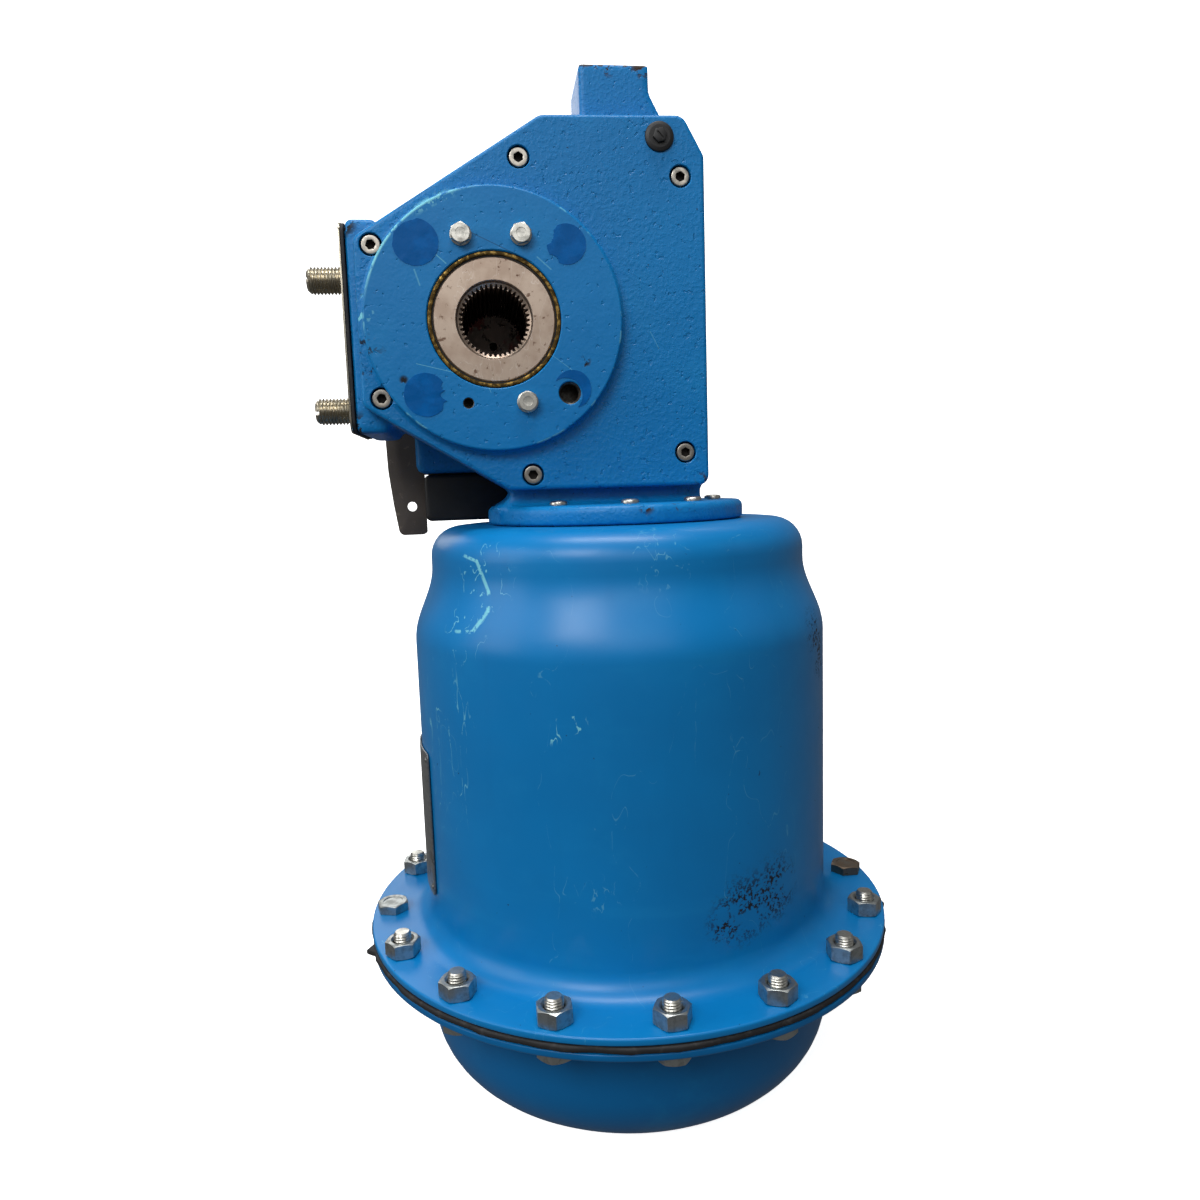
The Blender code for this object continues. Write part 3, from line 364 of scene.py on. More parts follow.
def make_lower_paint():
    # The base blue is darker than the barrel's: painted shade for the dish under the flange.
    finish = Finish("lower_blue_paint", rgb(1, 96, 154), 0.40, Specular_IOR_Level=0.24, Coat_Weight=0.06,
                    Coat_Roughness=0.2)
    add_paint_tone(finish, 0.36)
    finish.bumps(420.0, 2.0, 0.5, 0.012)
    finish.bumps(30.0, 2.0, 0.5, 0.12)
    low = finish.add("ShaderNodeSeparateXYZ", ((0, finish.place),)).outputs[2]
    scuffs = scratch_lines(finish, finish.scaled(1.0, 1.0, 2.0), 30.0, 0.006)
    finish.lay(finish.both(finish.both(scuffs, finish.step(low, 0.030, 0.004)), 0.5), PALE_SCRATCH_AND_HIGHLIGHT, 0.6)
    rub = finish.both(finish.step(low, 0.012, 0.0), finish.step(finish.noise(80.0, 4.0, 0.65), 0.5, 0.58))
    finish.lay(rub, CHIP_BROWN, 0.7)
    return finish.done()


def worn(name, colour, roughness, metallic=0.0, patches=(), bumps=(), **sockets):
    """One colour, with patches of other colours and bumps, each placed by its own noise."""
    finish = Finish(name, colour, roughness, metallic, **sockets)
    for patch in patches:
        finish.patches(*patch)
    for bump in bumps:
        finish.bumps(*bump)
    return finish.done()


def make_zinc(name="zinc_steel", tint=rgb(176, 180, 178), stain=0.35, roughness=0.36):
    """Zinc-plated steel, dulled, with patches of brownish grime."""
    return worn(name, tint, roughness, 1.0, [(160.0, 4.0, 0.65, 0.42, 0.66, 0.55, rgb(118, 120, 116), 0.55),
                                             (90.0, 5.0, 0.7, 0.56, 0.68, stain, rgb(86, 70, 54), 0.7)],
                [(900.0, 2.0, 0.5, 0.02)])


def ring_marks(finish, pitch, depth):
    """Turning marks round the shaft's axis: rings of fine grooves."""
    apart = shaft_distance(finish)
    wave = finish.maths("SINE", finish.both(apart, 2 * math.pi / (pitch * MM)))
    finish.raise_by(wave, depth / 2)


def make_hub_steel():
    """Machined steel with turning marks, handling marks and brown stains, and painted shade darkening the bore inside
    the hub.
    """
    finish = Finish("hub_steel", rgb(188, 170, 154), 0.34, 0.9)
    ring_marks(finish, 0.9, 0.010)
    finish.patches(45.0, 4.0, 0.6, 0.40, 0.64, 0.6, rgb(156, 134, 118), 0.46)
    finish.patches(210.0, 5.0, 0.7, 0.59, 0.66, 0.75, rgb(92, 58, 38), 0.75)
    lines = scratch_lines(finish, finish.scaled(1.0, 0.2, 0.4), 70.0, 0.004)
    finish.lay(finish.both(lines, 0.5), rgb(214, 206, 198), 0.3)
    # Painted shade: the bore inside the hub turns dark brown-black deeper towards the back.
    depth = finish.add("ShaderNodeSeparateXYZ", ((0, finish.place),)).outputs[1]
    inside = finish.step(depth, -0.066, -0.040)
    finish.lay(finish.both(inside, 0.92), rgb(34, 27, 24), 0.6)
    return finish.done()


def make_rubber(name="black_rubber", tone=rgb(26, 26, 28)):
    return worn(name, tone, 0.72, 0.0, [(130.0, 4.0, 0.65, 0.52, 0.70, 0.35, rgb(84, 82, 80), 0.85)],
                [(700.0, 3.0, 0.6, 0.05), (90.0, 3.0, 0.6, 0.20)])


def make_nameplate_metal():
    finish = Finish("nameplate_metal", rgb(122, 124, 124), 0.40, 0.8)
    brushed = finish.noise(70.0, 3.0, 0.6, finish.scaled(1.0, 1.0, 14.0))
    finish.lay(finish.both(finish.step(brushed, 0.4, 0.7), 0.4), rgb(158, 158, 154), 0.34)
    finish.patches(80.0, 5.0, 0.7, 0.55, 0.68, 0.6, rgb(70, 66, 60), 0.65)
    return finish.done()


CAST_PAINT = make_housing_paint()
COVER_PAINT = make_cover_paint()
BARREL_PAINT = make_barrel_paint()
LOWER_PAINT = make_lower_paint()
ZINC = make_zinc()
BRIGHT_ZINC = make_zinc("bright_zinc", rgb(206, 204, 196), 0.25, 0.30)
SCREW_STEEL = make_zinc("screw_steel", rgb(178, 172, 162), 0.30, 0.30)
STUD_STEEL = make_zinc("stud_steel", rgb(186, 178, 160), 0.30, 0.26)
RUSTY = make_zinc("rusty_zinc", rgb(120, 104, 88), 1.0, 0.5)
HUB_STEEL = make_hub_steel()
BARE_STEEL = worn("bare_steel", rgb(160, 150, 140), 0.42, 0.9,
                  [(60.0, 5.0, 0.65, 0.45, 0.68, 0.6, rgb(110, 92, 78), 0.6),
                   (280.0, 4.0, 0.7, 0.60, 0.68, 0.7, rgb(84, 50, 34), 0.8)], [(500.0, 3.0, 0.6, 0.02)])
# A light base that paints the light reaching the disc deep in the bore; the red and dark patches are stains.
STAINED_AND_LIT_STEEL = worn("stained_and_painted_light_steel", rgb(226, 206, 196), 0.55, 0.15,      # the disc deep in the bore
               [(40.0, 3.0, 0.6, 0.50, 0.58, 0.75, rgb(196, 96, 88), 0.6),
                (110.0, 4.0, 0.65, 0.56, 0.66, 0.8, rgb(60, 44, 38), 0.5)])
BRASS = worn("bush_brass", rgb(150, 122, 66), 0.36, 1.0,
             [(260.0, 4.0, 0.7, 0.40, 0.56, 0.85, rgb(44, 34, 22), 0.65)], [(600.0, 2.0, 0.5, 0.02)])
RUBBER = make_rubber()
PLASTIC = worn("black_plastic", rgb(17, 17, 19), 0.5, 0.0,
               [(60.0, 4.0, 0.6, 0.50, 0.72, 0.14, rgb(60, 58, 56), 0.65)], [(1300.0, 2.0, 0.5, 0.018)])
DARK_PAINT = worn("dark_brown_grey", rgb(70, 63, 57), 0.50, 0.0,
                  [(14.0, 4.0, 0.6, 0.42, 0.66, 0.5, rgb(84, 76, 70)),
                   (160.0, 4.0, 0.7, 0.60, 0.68, 0.5, rgb(112, 100, 90), 0.7)],
                  [(380.0, 3.0, 0.6, 0.04)], Specular_IOR_Level=0.4)
NAMEPLATE_METAL = make_nameplate_metal()
STICKER = worn("sticker_blue", rgb(0, 84, 150), 0.36, 0.0,
               [(60.0, 3.0, 0.6, 0.46, 0.62, 0.6, rgb(0, 98, 172), 0.30)],
               [(110.0, 3.0, 0.6, 0.30)], Specular_IOR_Level=0.10)
SPRING_STEEL = worn("spring_steel", rgb(58, 60, 64), 0.45, 0.6,
                    [(120.0, 4.0, 0.65, 0.5, 0.66, 0.5, rgb(96, 86, 76), 0.6)], [(500.0, 3.0, 0.6, 0.03)])
# A dark rubber finish that paints the shade inside screw sockets and at the back of the bore.
SOCKET_SHADE = make_rubber("socket_painted_shade", rgb(44, 38, 34))
# Dark steel that paints the shade inside the tapped holes.
HOLE_SHADE_STEEL = make_zinc("hole_shade_steel", rgb(62, 58, 54), 0.6, 0.5)


# --- Meshes -------------------------------------------------------------------------------------------
def polar(radius, degrees):
    angle = math.radians(degrees)
    return radius * math.cos(angle), radius * math.sin(angle)


def smooth_mesh(work, sharp=32):
    mesh = bpy.data.meshes.new("shape")
    bmesh.ops.recalc_face_normals(work, faces=work.faces)
    work.to_mesh(mesh)
    work.free()
    mesh.shade_smooth()
    mesh.set_sharp_from_angle(angle=math.radians(sharp))
    return mesh


def mesh_of(points, faces, sharp=32):
    """A mesh from points in millimetres, with doubled points joined."""
    mesh = bpy.data.meshes.new("points")
    mesh.from_pydata([tuple(c * MM for c in p) for p in points], [], faces)
    work = bmesh.new()
    work.from_mesh(mesh)
    bpy.data.meshes.remove(mesh)
    bmesh.ops.remove_doubles(work, verts=work.verts, dist=1e-6)
    return smooth_mesh(work, sharp)


def fillet(points, radius, steps=4, closed=True):
    """A polygon or line with its corners rounded; radius is one number or one for each corner."""
    count = len(points)
    radii = [radius] * count if isinstance(radius, (int, float)) else list(radius)
    found = []
    for index, point in enumerate(points):
        corner = Vector(point)
        if (not closed and index in (0, count - 1)) or radii[index] <= 0:
            found.append(tuple(corner))
            continue
        before, after = Vector(points[index - 1]), Vector(points[(index + 1) % count])
        a, b = (before - corner), (after - corner)
        bend = math.pi - a.angle(b)
        if bend < math.radians(4):
            found.append(tuple(corner))
            continue
        reach = min(radii[index] * math.tan(bend / 2), a.length * 0.49, b.length * 0.49)
        real = reach / math.tan(bend / 2)
        centre = corner + (a.normalized() + b.normalized()).normalized() * math.hypot(reach, real)
        start, end = corner + a.normalized() * reach - centre, corner + b.normalized() * reach - centre
        for step in range(steps + 1):
            share = step / steps
            mixed = start * math.sin((1 - share) * bend) + end * math.sin(share * bend)
            found.append(tuple(centre + mixed / math.sin(bend)))
    return found


def revolve(profile, sides=96, closed=False, radius_of=None, sharp=32):
    """A body turned about Z from (radius, height) points; radius_of(radius, height, angle) may vary it."""
    points, faces = [], []
    for side in range(sides):
        angle = 2 * math.pi * side / sides
        for radius, height in profile:
            r = radius_of(radius, height, angle) if radius_of else radius
            points.append((r * math.cos(angle), r * math.sin(angle), height))
    count = len(profile)
    for side in range(sides):
        near, far = side * count, (side + 1) % sides * count
        for index in range(count if closed else count - 1):
            after = (index + 1) % count
            quad = [near + index, near + after, far + after, far + index]
            if profile[index][0] < 1e-6:
                quad = [near + index, near + after, far + after]
            elif profile[after][0] < 1e-6:
                quad = [near + index, near + after, far + index]
            faces.append(quad)
    return mesh_of(points, faces, sharp)


def rod(radius, low, high, sides=32):
    """A plain round bar about Z, mostly a cutter."""
    return revolve([(0, high), (radius, high), (radius, low), (0, low)], sides)


def lofted(rings, sharp=32):
    """A closed body through rings of points, each with the same count."""
    count = len(rings[0])
    points = [point for ring in rings for point in ring]
    faces = []
    for layer in range(len(rings) - 1):
        for index in range(count):
            a, b = layer * count + index, layer * count + (index + 1) % count
            faces.append([a, b, b + count, a + count])
    faces += [list(range(count))[::-1], [(len(rings) - 1) * count + index for index in range(count)]]
    return mesh_of(points, faces, sharp)


def inset(points, distance):
    """Moves each corner of an outline inwards along the mean of its two edge normals."""
    area = sum(a[0] * b[1] - b[0] * a[1] for a, b in zip(points, points[1:] + points[:1]))
    side = 1 if area > 0 else -1
    found = []
    for index, point in enumerate(points):
        here = Vector(point)
        a = (here - Vector(points[index - 1])).normalized()
        b = (Vector(points[(index + 1) % len(points)]) - here).normalized()
        normal = Vector((-a.y - b.y, a.x + b.x)).normalized() * side
        grown = distance / max(0.5, normal.dot(Vector((-a.y, a.x)) * side))
        found.append(tuple(here + normal * grown))
    return found


def rim(radius, steps):
    """(inset, drop) pairs of a rounded edge."""
    return [(radius * (1 - math.sin(math.pi / 2 * k / steps)), radius * (1 - math.cos(math.pi / 2 * k / steps)))
            for k in range(steps + 1)]


def prism(outline, low, high, bevel=0.0, axis="Y", steps=3, sharp=32):
    """An outline given a thickness from low to high along an axis, its edges rounded by bevel."""
    outline = [tuple(p) for p in outline]
    if bevel:
        rings = [(inset(outline, s), low + d) for s, d in rim(bevel, steps)]
        rings += [(inset(outline, s), high - d) for s, d in reversed(rim(bevel, steps))]
    else:
        rings = [(outline, low), (outline, high)]
    place = {"Y": lambda u, v, depth: (u, depth, v), "Z": lambda u, v, depth: (u, v, depth),
             "X": lambda u, v, depth: (depth, u, v)}[axis]
    return lofted([[place(u, v, depth) for u, v in ring] for ring, depth in rings], sharp)


def slab(low, high, corner=0.0, bevel=0.0, axis="Y", steps=3):
    """A box with rounded corners seen along the axis, and rounded edges."""
    u, v, w = {"Y": (0, 2, 1), "Z": (0, 1, 2), "X": (1, 2, 0)}[axis]
    outline = [(low[u], low[v]), (high[u], low[v]), (high[u], high[v]), (low[u], high[v])]
    if corner:
        outline = fillet(outline, corner, 5)
    return prism(outline, low[w], high[w], bevel, axis, steps=steps)


def placed(mesh, x=0.0, y=0.0, z=0.0, face=None, turn=0.0):
    """Moves a mesh; face "front" turns its top to -Y, "left" to -X, "down" to -Z, after a turn about Z."""
    spin = {"front": Matrix.Rotation(math.radians(90), 4, "X"), "left": Matrix.Rotation(math.radians(-90), 4, "Y"),
            "down": Matrix.Rotation(math.pi, 4, "X"), "back": Matrix.Rotation(math.radians(-90), 4, "X"),
            None: Matrix.Identity(4)}[face]
    mesh.transform(Matrix.Translation(Vector((x, y, z)) * MM) @ spin @ Matrix.Rotation(math.radians(turn), 4, "Z"))
    return mesh


def on_disc(mesh, radius, angle, turn=0.0, shift=(0.0, 0.0)):
    """Places a mesh on the mounting disc's face, at a radius and an angle about the shaft."""
    x, z = polar(radius, angle)
    return placed(mesh, SHAFT_X + x + shift[0], DISC_FRONT, SHAFT_Z + z + shift[1], "front", turn)


def holder(name, data):
    """A new object in the scene for a mesh, light or camera."""
    made = bpy.data.objects.new(name, data)
    bpy.context.scene.collection.objects.link(made)
    return made


def settled(obj, sharp=32):
    """The mesh an object's modifiers give, with the object removed."""
    seen = obj.evaluated_get(bpy.context.evaluated_depsgraph_get())
    mesh = bpy.data.meshes.new_from_object(seen)
    bpy.data.objects.remove(obj)
    mesh.shade_smooth()
    mesh.set_sharp_from_angle(angle=math.radians(sharp))
    return mesh


def shaped(mesh, add=(), cut=(), sharp=32, within=()):
    """A mesh with other closed meshes added, then cut away, then kept only inside the last ones."""
    body = holder("body", mesh)
    others = []
    for operation, tools in (("UNION", add), ("DIFFERENCE", cut), ("INTERSECT", within)):
        for tool in tools:
            other = holder("tool", tool)
            step = body.modifiers.new("shape", "BOOLEAN")
            step.operation, step.solver, step.object = operation, "EXACT", other
            others.append(other)
    made = settled(body, sharp)
    for other in others:
        bpy.data.objects.remove(other)
    return made


def merged(meshes, sharp=32):
    """Separate bodies in one mesh."""
    work = bmesh.new()
    for mesh in meshes:
        work.from_mesh(mesh)
    return smooth_mesh(work, sharp)


def cast(mesh, voxel, rounds, keep=1.0, add=()):
    """A mesh remade in small cells and eased, so that all its corners take a casting's radii."""
    body = holder("body", shaped(mesh, add) if add else mesh)
    remesh = body.modifiers.new("cells", "REMESH")
    remesh.mode, remesh.voxel_size = "VOXEL", voxel * MM
    ease = body.modifiers.new("ease", "SMOOTH")
    ease.factor, ease.iterations = 0.5, rounds
    if keep < 1:
        body.modifiers.new("fewer", "DECIMATE").ratio = keep
    return settled(body, 60)


def piece(name, mesh, finish, body, slot, *stands_for, flat_faces=False):
    """A visible piece that rides on a body, takes a finish and stands for CAD nodes; the slot is not used."""
    made = holder(name, mesh)
    mesh.materials.clear()
    mesh.materials.append(finish)
    # Faces marked inner take the dark finish that paints the shade inside the socket.
    inner = mesh.attributes.get("inner")
    if inner:
        mesh.materials.append(SOCKET_SHADE)
        for face, mark in zip(mesh.polygons, [m.value for m in inner.data]):
            face.material_index = mark
        mesh.attributes.remove(mesh.attributes["inner"])
    if flat_faces:
        made.modifiers.new("even_shading", "WEIGHTED_NORMAL").keep_sharp = True
    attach(made, body)
    if stands_for:
        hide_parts(*stands_for)
    return made


def drill(radius, depth, chamfer=0.0, sides=32, above=3.0):
    """A cutter about Z for a round hole from the surface at zero down, with a chamfered mouth."""
    profile = [(0, above), (radius + chamfer + (above if chamfer else 0), above)]
    if chamfer:
        profile.append((radius, -chamfer))
    profile += [(radius, -depth), (0, -depth - radius * 0.5)]
    return revolve(profile, sides)


# --- Fasteners ----------------------------------------------------------------------------------------
def hex_body(flats, low, high, top_chamfer=True, low_chamfer=True):
    """A hexagon prism whose corners are turned away at its ends, as on a real nut."""
    corner = flats / 2 / math.cos(math.pi / 6)
    face, reach = flats / 2 * 0.97, corner + 2
    rise = (reach - face) * 0.5
    turned = [(0, high), (face, high), (reach, high - rise)] if top_chamfer else [(0, high), (reach, high)]
    turned += [(reach, low + rise), (face, low), (0, low)] if low_chamfer else [(reach, low), (0, low)]
    blank = prism([polar(corner, 60 * k) for k in range(6)], low, high, axis="Z")
    return shaped(blank, within=[revolve(turned, 48)], sharp=25)


def thread(radius, low, high, pitch, depth, sides=36, rows=6, tip=1.2, tail=0.0):
    """A screw thread about Z from low to high, with a chamfered tip at its top."""
    count = max(2, round((high - low) / pitch * rows))
    points = [(0, 0, low)]
    for row in range(count + 1):
        height = low + (high - low) * row / count
        for side in range(sides):
            share = (height / pitch - side / sides) % 1.0
            groove = depth * (1 - abs(2 * share - 1))
            groove = min(depth, groove * 1.25)
            end = max(0.0, tip - (high - height)) * 0.9
            start = max(0.0, tail - (height - low)) * 0.9
            r = min(radius - groove, radius - end, radius - start)
            points.append((*polar(r, 360 * side / sides), height))
    points.append((0, 0, high))
    faces = []
    for row in range(count):
        for side in range(sides):
            a, b = 1 + row * sides + side, 1 + row * sides + (side + 1) % sides
            faces.append([a, b, b + sides, a + sides])
    last = len(points) - 1
    for side in range(sides):
        after = (side + 1) % sides
        faces.append([0, 1 + after, 1 + side])
        faces.append([last, last - sides + side, last - sides + after])
    return mesh_of(points, faces, 50)


def make_casing_fasteners():
    """Sixteen bolts through the flanges, each with its nut; two stand head up."""
    half = STACK_T / 2
    nut_low, nut_high = half + GAP, half + GAP + 11
    nut_bore = [(0, 30), (8.4, 30), (8.4, nut_high), (6.9, nut_low + 9.6), (6.9, half), (0, half)]
    nut = shaped(hex_body(22, nut_low, nut_high), cut=[revolve(nut_bore, 32)], sharp=25)
    end = nut_low + 16.5
    stud = merged([thread(6.35, half - 1, end, 1.95, 0.62, 28, 6, 1.6)])      # with sharper creases
    head_low, head_high = -half - GAP - 6.8, -half - GAP
    dish = [(0, head_low - 1), (8.2, head_low - 1), (7.4, head_low + 0.5), (0, head_low + 0.5)]
    head = shaped(hex_body(22, head_low, head_high, top_chamfer=False),
                  [rod(6.3, -half - 3, half + 1)], [revolve(dish, 32)], 25)
    middle = CASING_Z - half
    turns = random.Random(4)
    for index in range(BOLTS):
        angle = 360 * index / BOLTS
        x, y = polar(BOLT_CIRCLE_R, angle)
        over = index in INVERTED_BOLTS
        number = f"{index + 1:02d}"
        spin = turns.uniform(0, 60)
        for kind, mesh, extra, finish in (("bolt", head, 0, RUSTY if index == 0 else ZINC),
                                          ("nut", nut, spin, ZINC), ("stud", stud, spin, BRIGHT_ZINC)):
            made = placed(mesh.copy(), x, y, middle, "down" if over else None, angle + 17 * index + extra)
            stands_for = (f"casing_bolt_{number}",) if kind == "bolt" else ()
            piece(f"flange_{kind}_{number}", made, finish, "casing", "zinc_fasteners", *stands_for)


def mark_inner(mesh, radius, below):
    """Marks the faces inside a socket, which take a piece's second finish, a dark one that paints the shade in the
    socket.
    """
    marks = mesh.attributes.new("inner", "INT", "FACE")
    for face in mesh.polygons:
        x, y, z = face.center / MM
        marks.data[face.index].value = int(math.hypot(x, y) < radius and z < below)
    return mesh


def socket_screw(head, height, socket, shank, length, crown=0.0):
    """A socket screw about Z, its head's top at zero; crown is how far a round head falls to its edge."""
    if crown:
        edge = [(0, 0)] + [(head * math.sin(math.pi / 2 * k / 7), -crown * (1 - math.cos(math.pi / 2 * k / 7)))
                           for k in range(3, 8)] + [(head, -height)]
    else:
        edge = fillet([(0, 0), (head - 0.4, 0), (head, -0.7), (head, -height)], [0, 0.5, 0.5, 0], 3, closed=False)
    profile = edge + [(shank, -height), (shank, -length), (0, -length)]
    corner = socket / 2 / math.cos(math.pi / 6)
    hexagon = [polar(corner, 60 * k) for k in range(6)]
    mouth = [(0, 3), (socket * 0.58 + 3, 3), (socket * 0.58, 0), (0, -0.6)]
    cutters = [prism(hexagon, -height * 0.72, 3, axis="Z"), revolve(mouth, 24)]
    return mark_inner(shaped(revolve(profile, 48), cut=cutters), corner * 1.02, -0.5)


def make_cover_fasteners():
    screw = socket_screw(6.5, 8, 6.2, shank=4, length=31)
    turns = random.Random(9)
    for index, (x, z) in enumerate(COVER_SCREWS, 1):
        made = placed(screw.copy(), x, COVER_FRONT + 0.6, z, "front", turns.uniform(0, 60))
        piece(f"cover_socket_screw_{index}", made, SCREW_STEEL, "casing", "screw_steel", f"cover_screw_{index}")

    head = hex_body(12.4, 1.5, 6.3, low_chamfer=False)
    flange = revolve(fillet([(0, 2.4), (5, 2.4), (7.3, 1.3), (7.3, 0.3), (0, 0.3)],
                            [0, 0.4, 0.3, 0, 0], 3, closed=False), 40)
    shank = rod(3.4, -11, 1, 24)
    dimple = revolve([(0, 8), (4.0, 8), (3.2, 5.9), (0, 5.7)], 32)
    bolt = shaped(head, [flange, shank], [dimple], 25)
    for index, angle in enumerate(PAD_BOLT_ANGLES, 1):
        made = on_disc(bolt.copy(), PAD_BOLT_R, angle, 13 * index)
        piece(f"pad_hex_bolt_{index}", made, BRIGHT_ZINC, "casing", "zinc_fasteners", f"pad_bolt_{index}")

    x, z = VENT_PLUG
    body = revolve(fillet([(0, 2.2), (7.4, 2.2), (9.8, 1.5), (10.2, 0.3), (6, 0.3), (6, -14), (0, -14)],
                          [0, 0.8, 0.8, 0.2, 0, 0, 0], 3, closed=False), 48)
    button = hex_body(8.6, 1.5, 4.5, low_chamfer=False)
    slots = [placed(slab((-0.6, -3, 3.6), (0.6, 3, 6), axis="Z"), turn=30)]
    piece("vent_cap", placed(shaped(body, [button], slots), x, COVER_FRONT, z, "front", 12), PLASTIC,
          "casing", "black_plastic", "vent_plug")


def make_neck_fasteners():
    screw = socket_screw(6.4, 3.2, 4.6, shank=4.8, length=20, crown=1.7)
    top = NECK_Z + NECK_T + 3.6
    turns = random.Random(3)
    for index, angle in enumerate(NECK_SCREW_ANGLES, 1):
        x, y = polar(NECK_SCREW_R, angle)
        made = placed(screw.copy(), x, y, top, turn=turns.uniform(0, 60))
        piece(f"neck_button_screw_{index}", made, BRIGHT_ZINC, "casing", "zinc_fasteners", f"neck_screw_{index}")


def make_stop_studs():
    """Two slotted, threaded stop screws, each on its own adjusting body."""
    length = STOP_INNER_X - STOP_TIP_X
    slot = slab((-14, -1.2, -3.2), (14, 1.2, 5), axis="Z")
    for name, body, node, z, turn in (("stop_stud_upper", "stop_upper", "stop_screw_upper", STOP_Z[0], 96),
                                      ("stop_stud_lower", "stop_lower", "stop_screw_lower", STOP_Z[1], 78)):
        stud = thread(STOP_R, -length, 0, 2.5, 1.5, 48, 10, 3.0, 3.5)
        made = shaped(stud, cut=[slot.copy()], sharp=50)
        piece(name, placed(made, STOP_TIP_X, STOP_Y, z, "left", turn), STUD_STEEL, body, "screw_steel", node)


# --- Lever housing ------------------------------------------------------------------------------------
def neck_flare():
    """The flared foot between the housing and its round flange."""
    rings = []
    for grow, height in ((10.0, 439.0), (7.5, 441.6), (4.2, 444.6), (1.8, 448.6), (0.4, 454.0), (0.0, 462.0)):
        lean = grow * 1.5 + (462 - height) * 0.10
        low_x, high_x, low_y, high_y = -78 - lean, 57.5 + grow * 0.3, -44.8 - grow * 0.4, 52 + grow
        corners = [(low_x, low_y), (high_x, low_y), (high_x, high_y), (low_x, high_y)]
        rings.append([(u, v, height) for u, v in fillet(corners, 12, 4)])
    return lofted(rings)


def make_housing():
    blank = NODES["housing"].data.copy()
    foot = shaped(neck_flare(), cut=[placed(rod(40, -60, 60, 48), 0, 0, 450)])
    piece("housing_casting", cast(blank, 2.0, 5, 0.6, [foot]), CAST_PAINT, "casing", "cast_blue_paint", "housing")


def make_cover():
    outline = fillet(OUTLINE, (7, 8, 9, 12, 8, 8, 12), 5)
    plate = prism(outline, COVER_FRONT, COVER_BACK, 3.0, "Y", steps=4)
    disc_profile = fillet([(0, -DISC_FRONT), (DISC_R, -DISC_FRONT), (DISC_R, -COVER_FRONT),
                           (DISC_R + 9, -COVER_FRONT - 0.2), (DISC_R + 9, -COVER_BACK + 6), (0, -COVER_BACK + 6)],
                          [0, 1.6, 4.0, 0, 0, 0], 5, closed=False)
    disc_profile = [(r, h) for r, h in disc_profile if not (r > DISC_R + 8.9 and h > -COVER_FRONT - 0.1)]
    disc = placed(revolve(disc_profile, 128), SHAFT_X, 0, SHAFT_Z, "front")
    disc = shaped(disc, within=[prism(inset(outline, 1.2), DISC_FRONT - 5, COVER_BACK - 1)])

    cuts = [placed(drill(BUSH_R + GAP, 40, 0.8, 96), SHAFT_X, DISC_FRONT, SHAFT_Z, "front")]
    for x, z in COVER_SCREWS:
        cuts.append(placed(drill(7.7, 9, 0.5, 32), x, COVER_FRONT, z, "front"))
        cuts.append(placed(drill(4.4, 22, 0, 20), x, COVER_FRONT, z, "front"))
    cuts += [on_disc(drill(DISC_HOLE_R + 0.7, 20, 0.6, 32), DISC_PCD_R, angle) for angle in DISC_HOLE_ANGLES]
    cuts += [on_disc(drill(3.8, 14, 0.3, 24), PAD_BOLT_R, angle)
             for angle in (*PAD_BOLT_ANGLES, EMPTY_PAD_HOLE_ANGLE)]
    cuts.append(placed(drill(6.3, 22, 0, 24), VENT_PLUG[0], COVER_FRONT, VENT_PLUG[1], "front"))
    piece("cover_casting", shaped(plate, [disc], cuts), COVER_PAINT, "casing", "cast_blue_paint",
          "cover_plate", flat_faces=True)


def make_threaded_holes():
    """The threads inside the mounting disc's four holes, in a dark steel that paints the shade inside them."""
    low, high, pitch = -18.0, -1.0, 2.0
    for index, angle in enumerate(DISC_HOLE_ANGLES, 1):
        profile = [(0, low - 0.5), (DISC_HOLE_R + 0.68, low - 0.5), (DISC_HOLE_R + 0.68, high)]
        for turn in range(int((high - low) / pitch)):
            top = high - turn * pitch
            profile += [(DISC_HOLE_R + 0.55, top - 0.1), (DISC_HOLE_R - 0.5, top - pitch / 2),
                        (DISC_HOLE_R + 0.55, top - pitch + 0.1)]
        profile += [(DISC_HOLE_R + 0.5, low), (0, low)]
        mesh = on_disc(revolve(profile, 32, sharp=50), DISC_PCD_R, angle)
        piece(f"hole_thread_{index}", mesh, HOLE_SHADE_STEEL, "casing", "bare_steel")
    # A dark cup in the empty pad hole paints the shade inside it.
    cup = [(0, -13.5), (3.75, -13.5), (3.75, -0.5), (3.3, -0.7), (3.3, -13), (0, -13)]
    piece("pad_hole_thread", on_disc(revolve(cup, 24), PAD_BOLT_R, EMPTY_PAD_HOLE_ANGLE), HOLE_SHADE_STEEL, "casing",
          "bare_steel")


def torn_disc(radius, seed, tears=()):
    """A round adhesive cap; each tear is (angle, half width, depth) of edge that is ripped away raggedly."""
    sides = 144
    rim_points = []
    for side in range(sides):
        angle = 360 * side / sides
        u, v = polar(1.0, angle)
        r = radius + noise.noise(Vector((u * 3 + seed, v * 3, 0))) * 0.25
        for middle, half, depth in tears:
            apart = abs((angle - middle + 180) % 360 - 180) / half
            if apart < 1:
                rag = 0.75 + 0.45 * noise.noise(Vector((u * 16 + seed, v * 16, 3)))
                r -= depth * math.sqrt(1 - apart * apart) * rag
        rim_points.append(polar(r, angle))
    rings = []
    for scale, height in ((1.0, 0.05), (1.0, 0.30), (0.82, 0.34), (0.55, 0.34), (0.28, 0.34)):
        rings.append([])
        for u, v in rim_points:
            lift = 0.22 * noise.noise(Vector((u * scale * 0.16, v * scale * 0.16, seed))) if height > 0.1 else 0
            rings[-1].append((u * scale, v * scale, height + lift))
    return lofted(rings, 50)


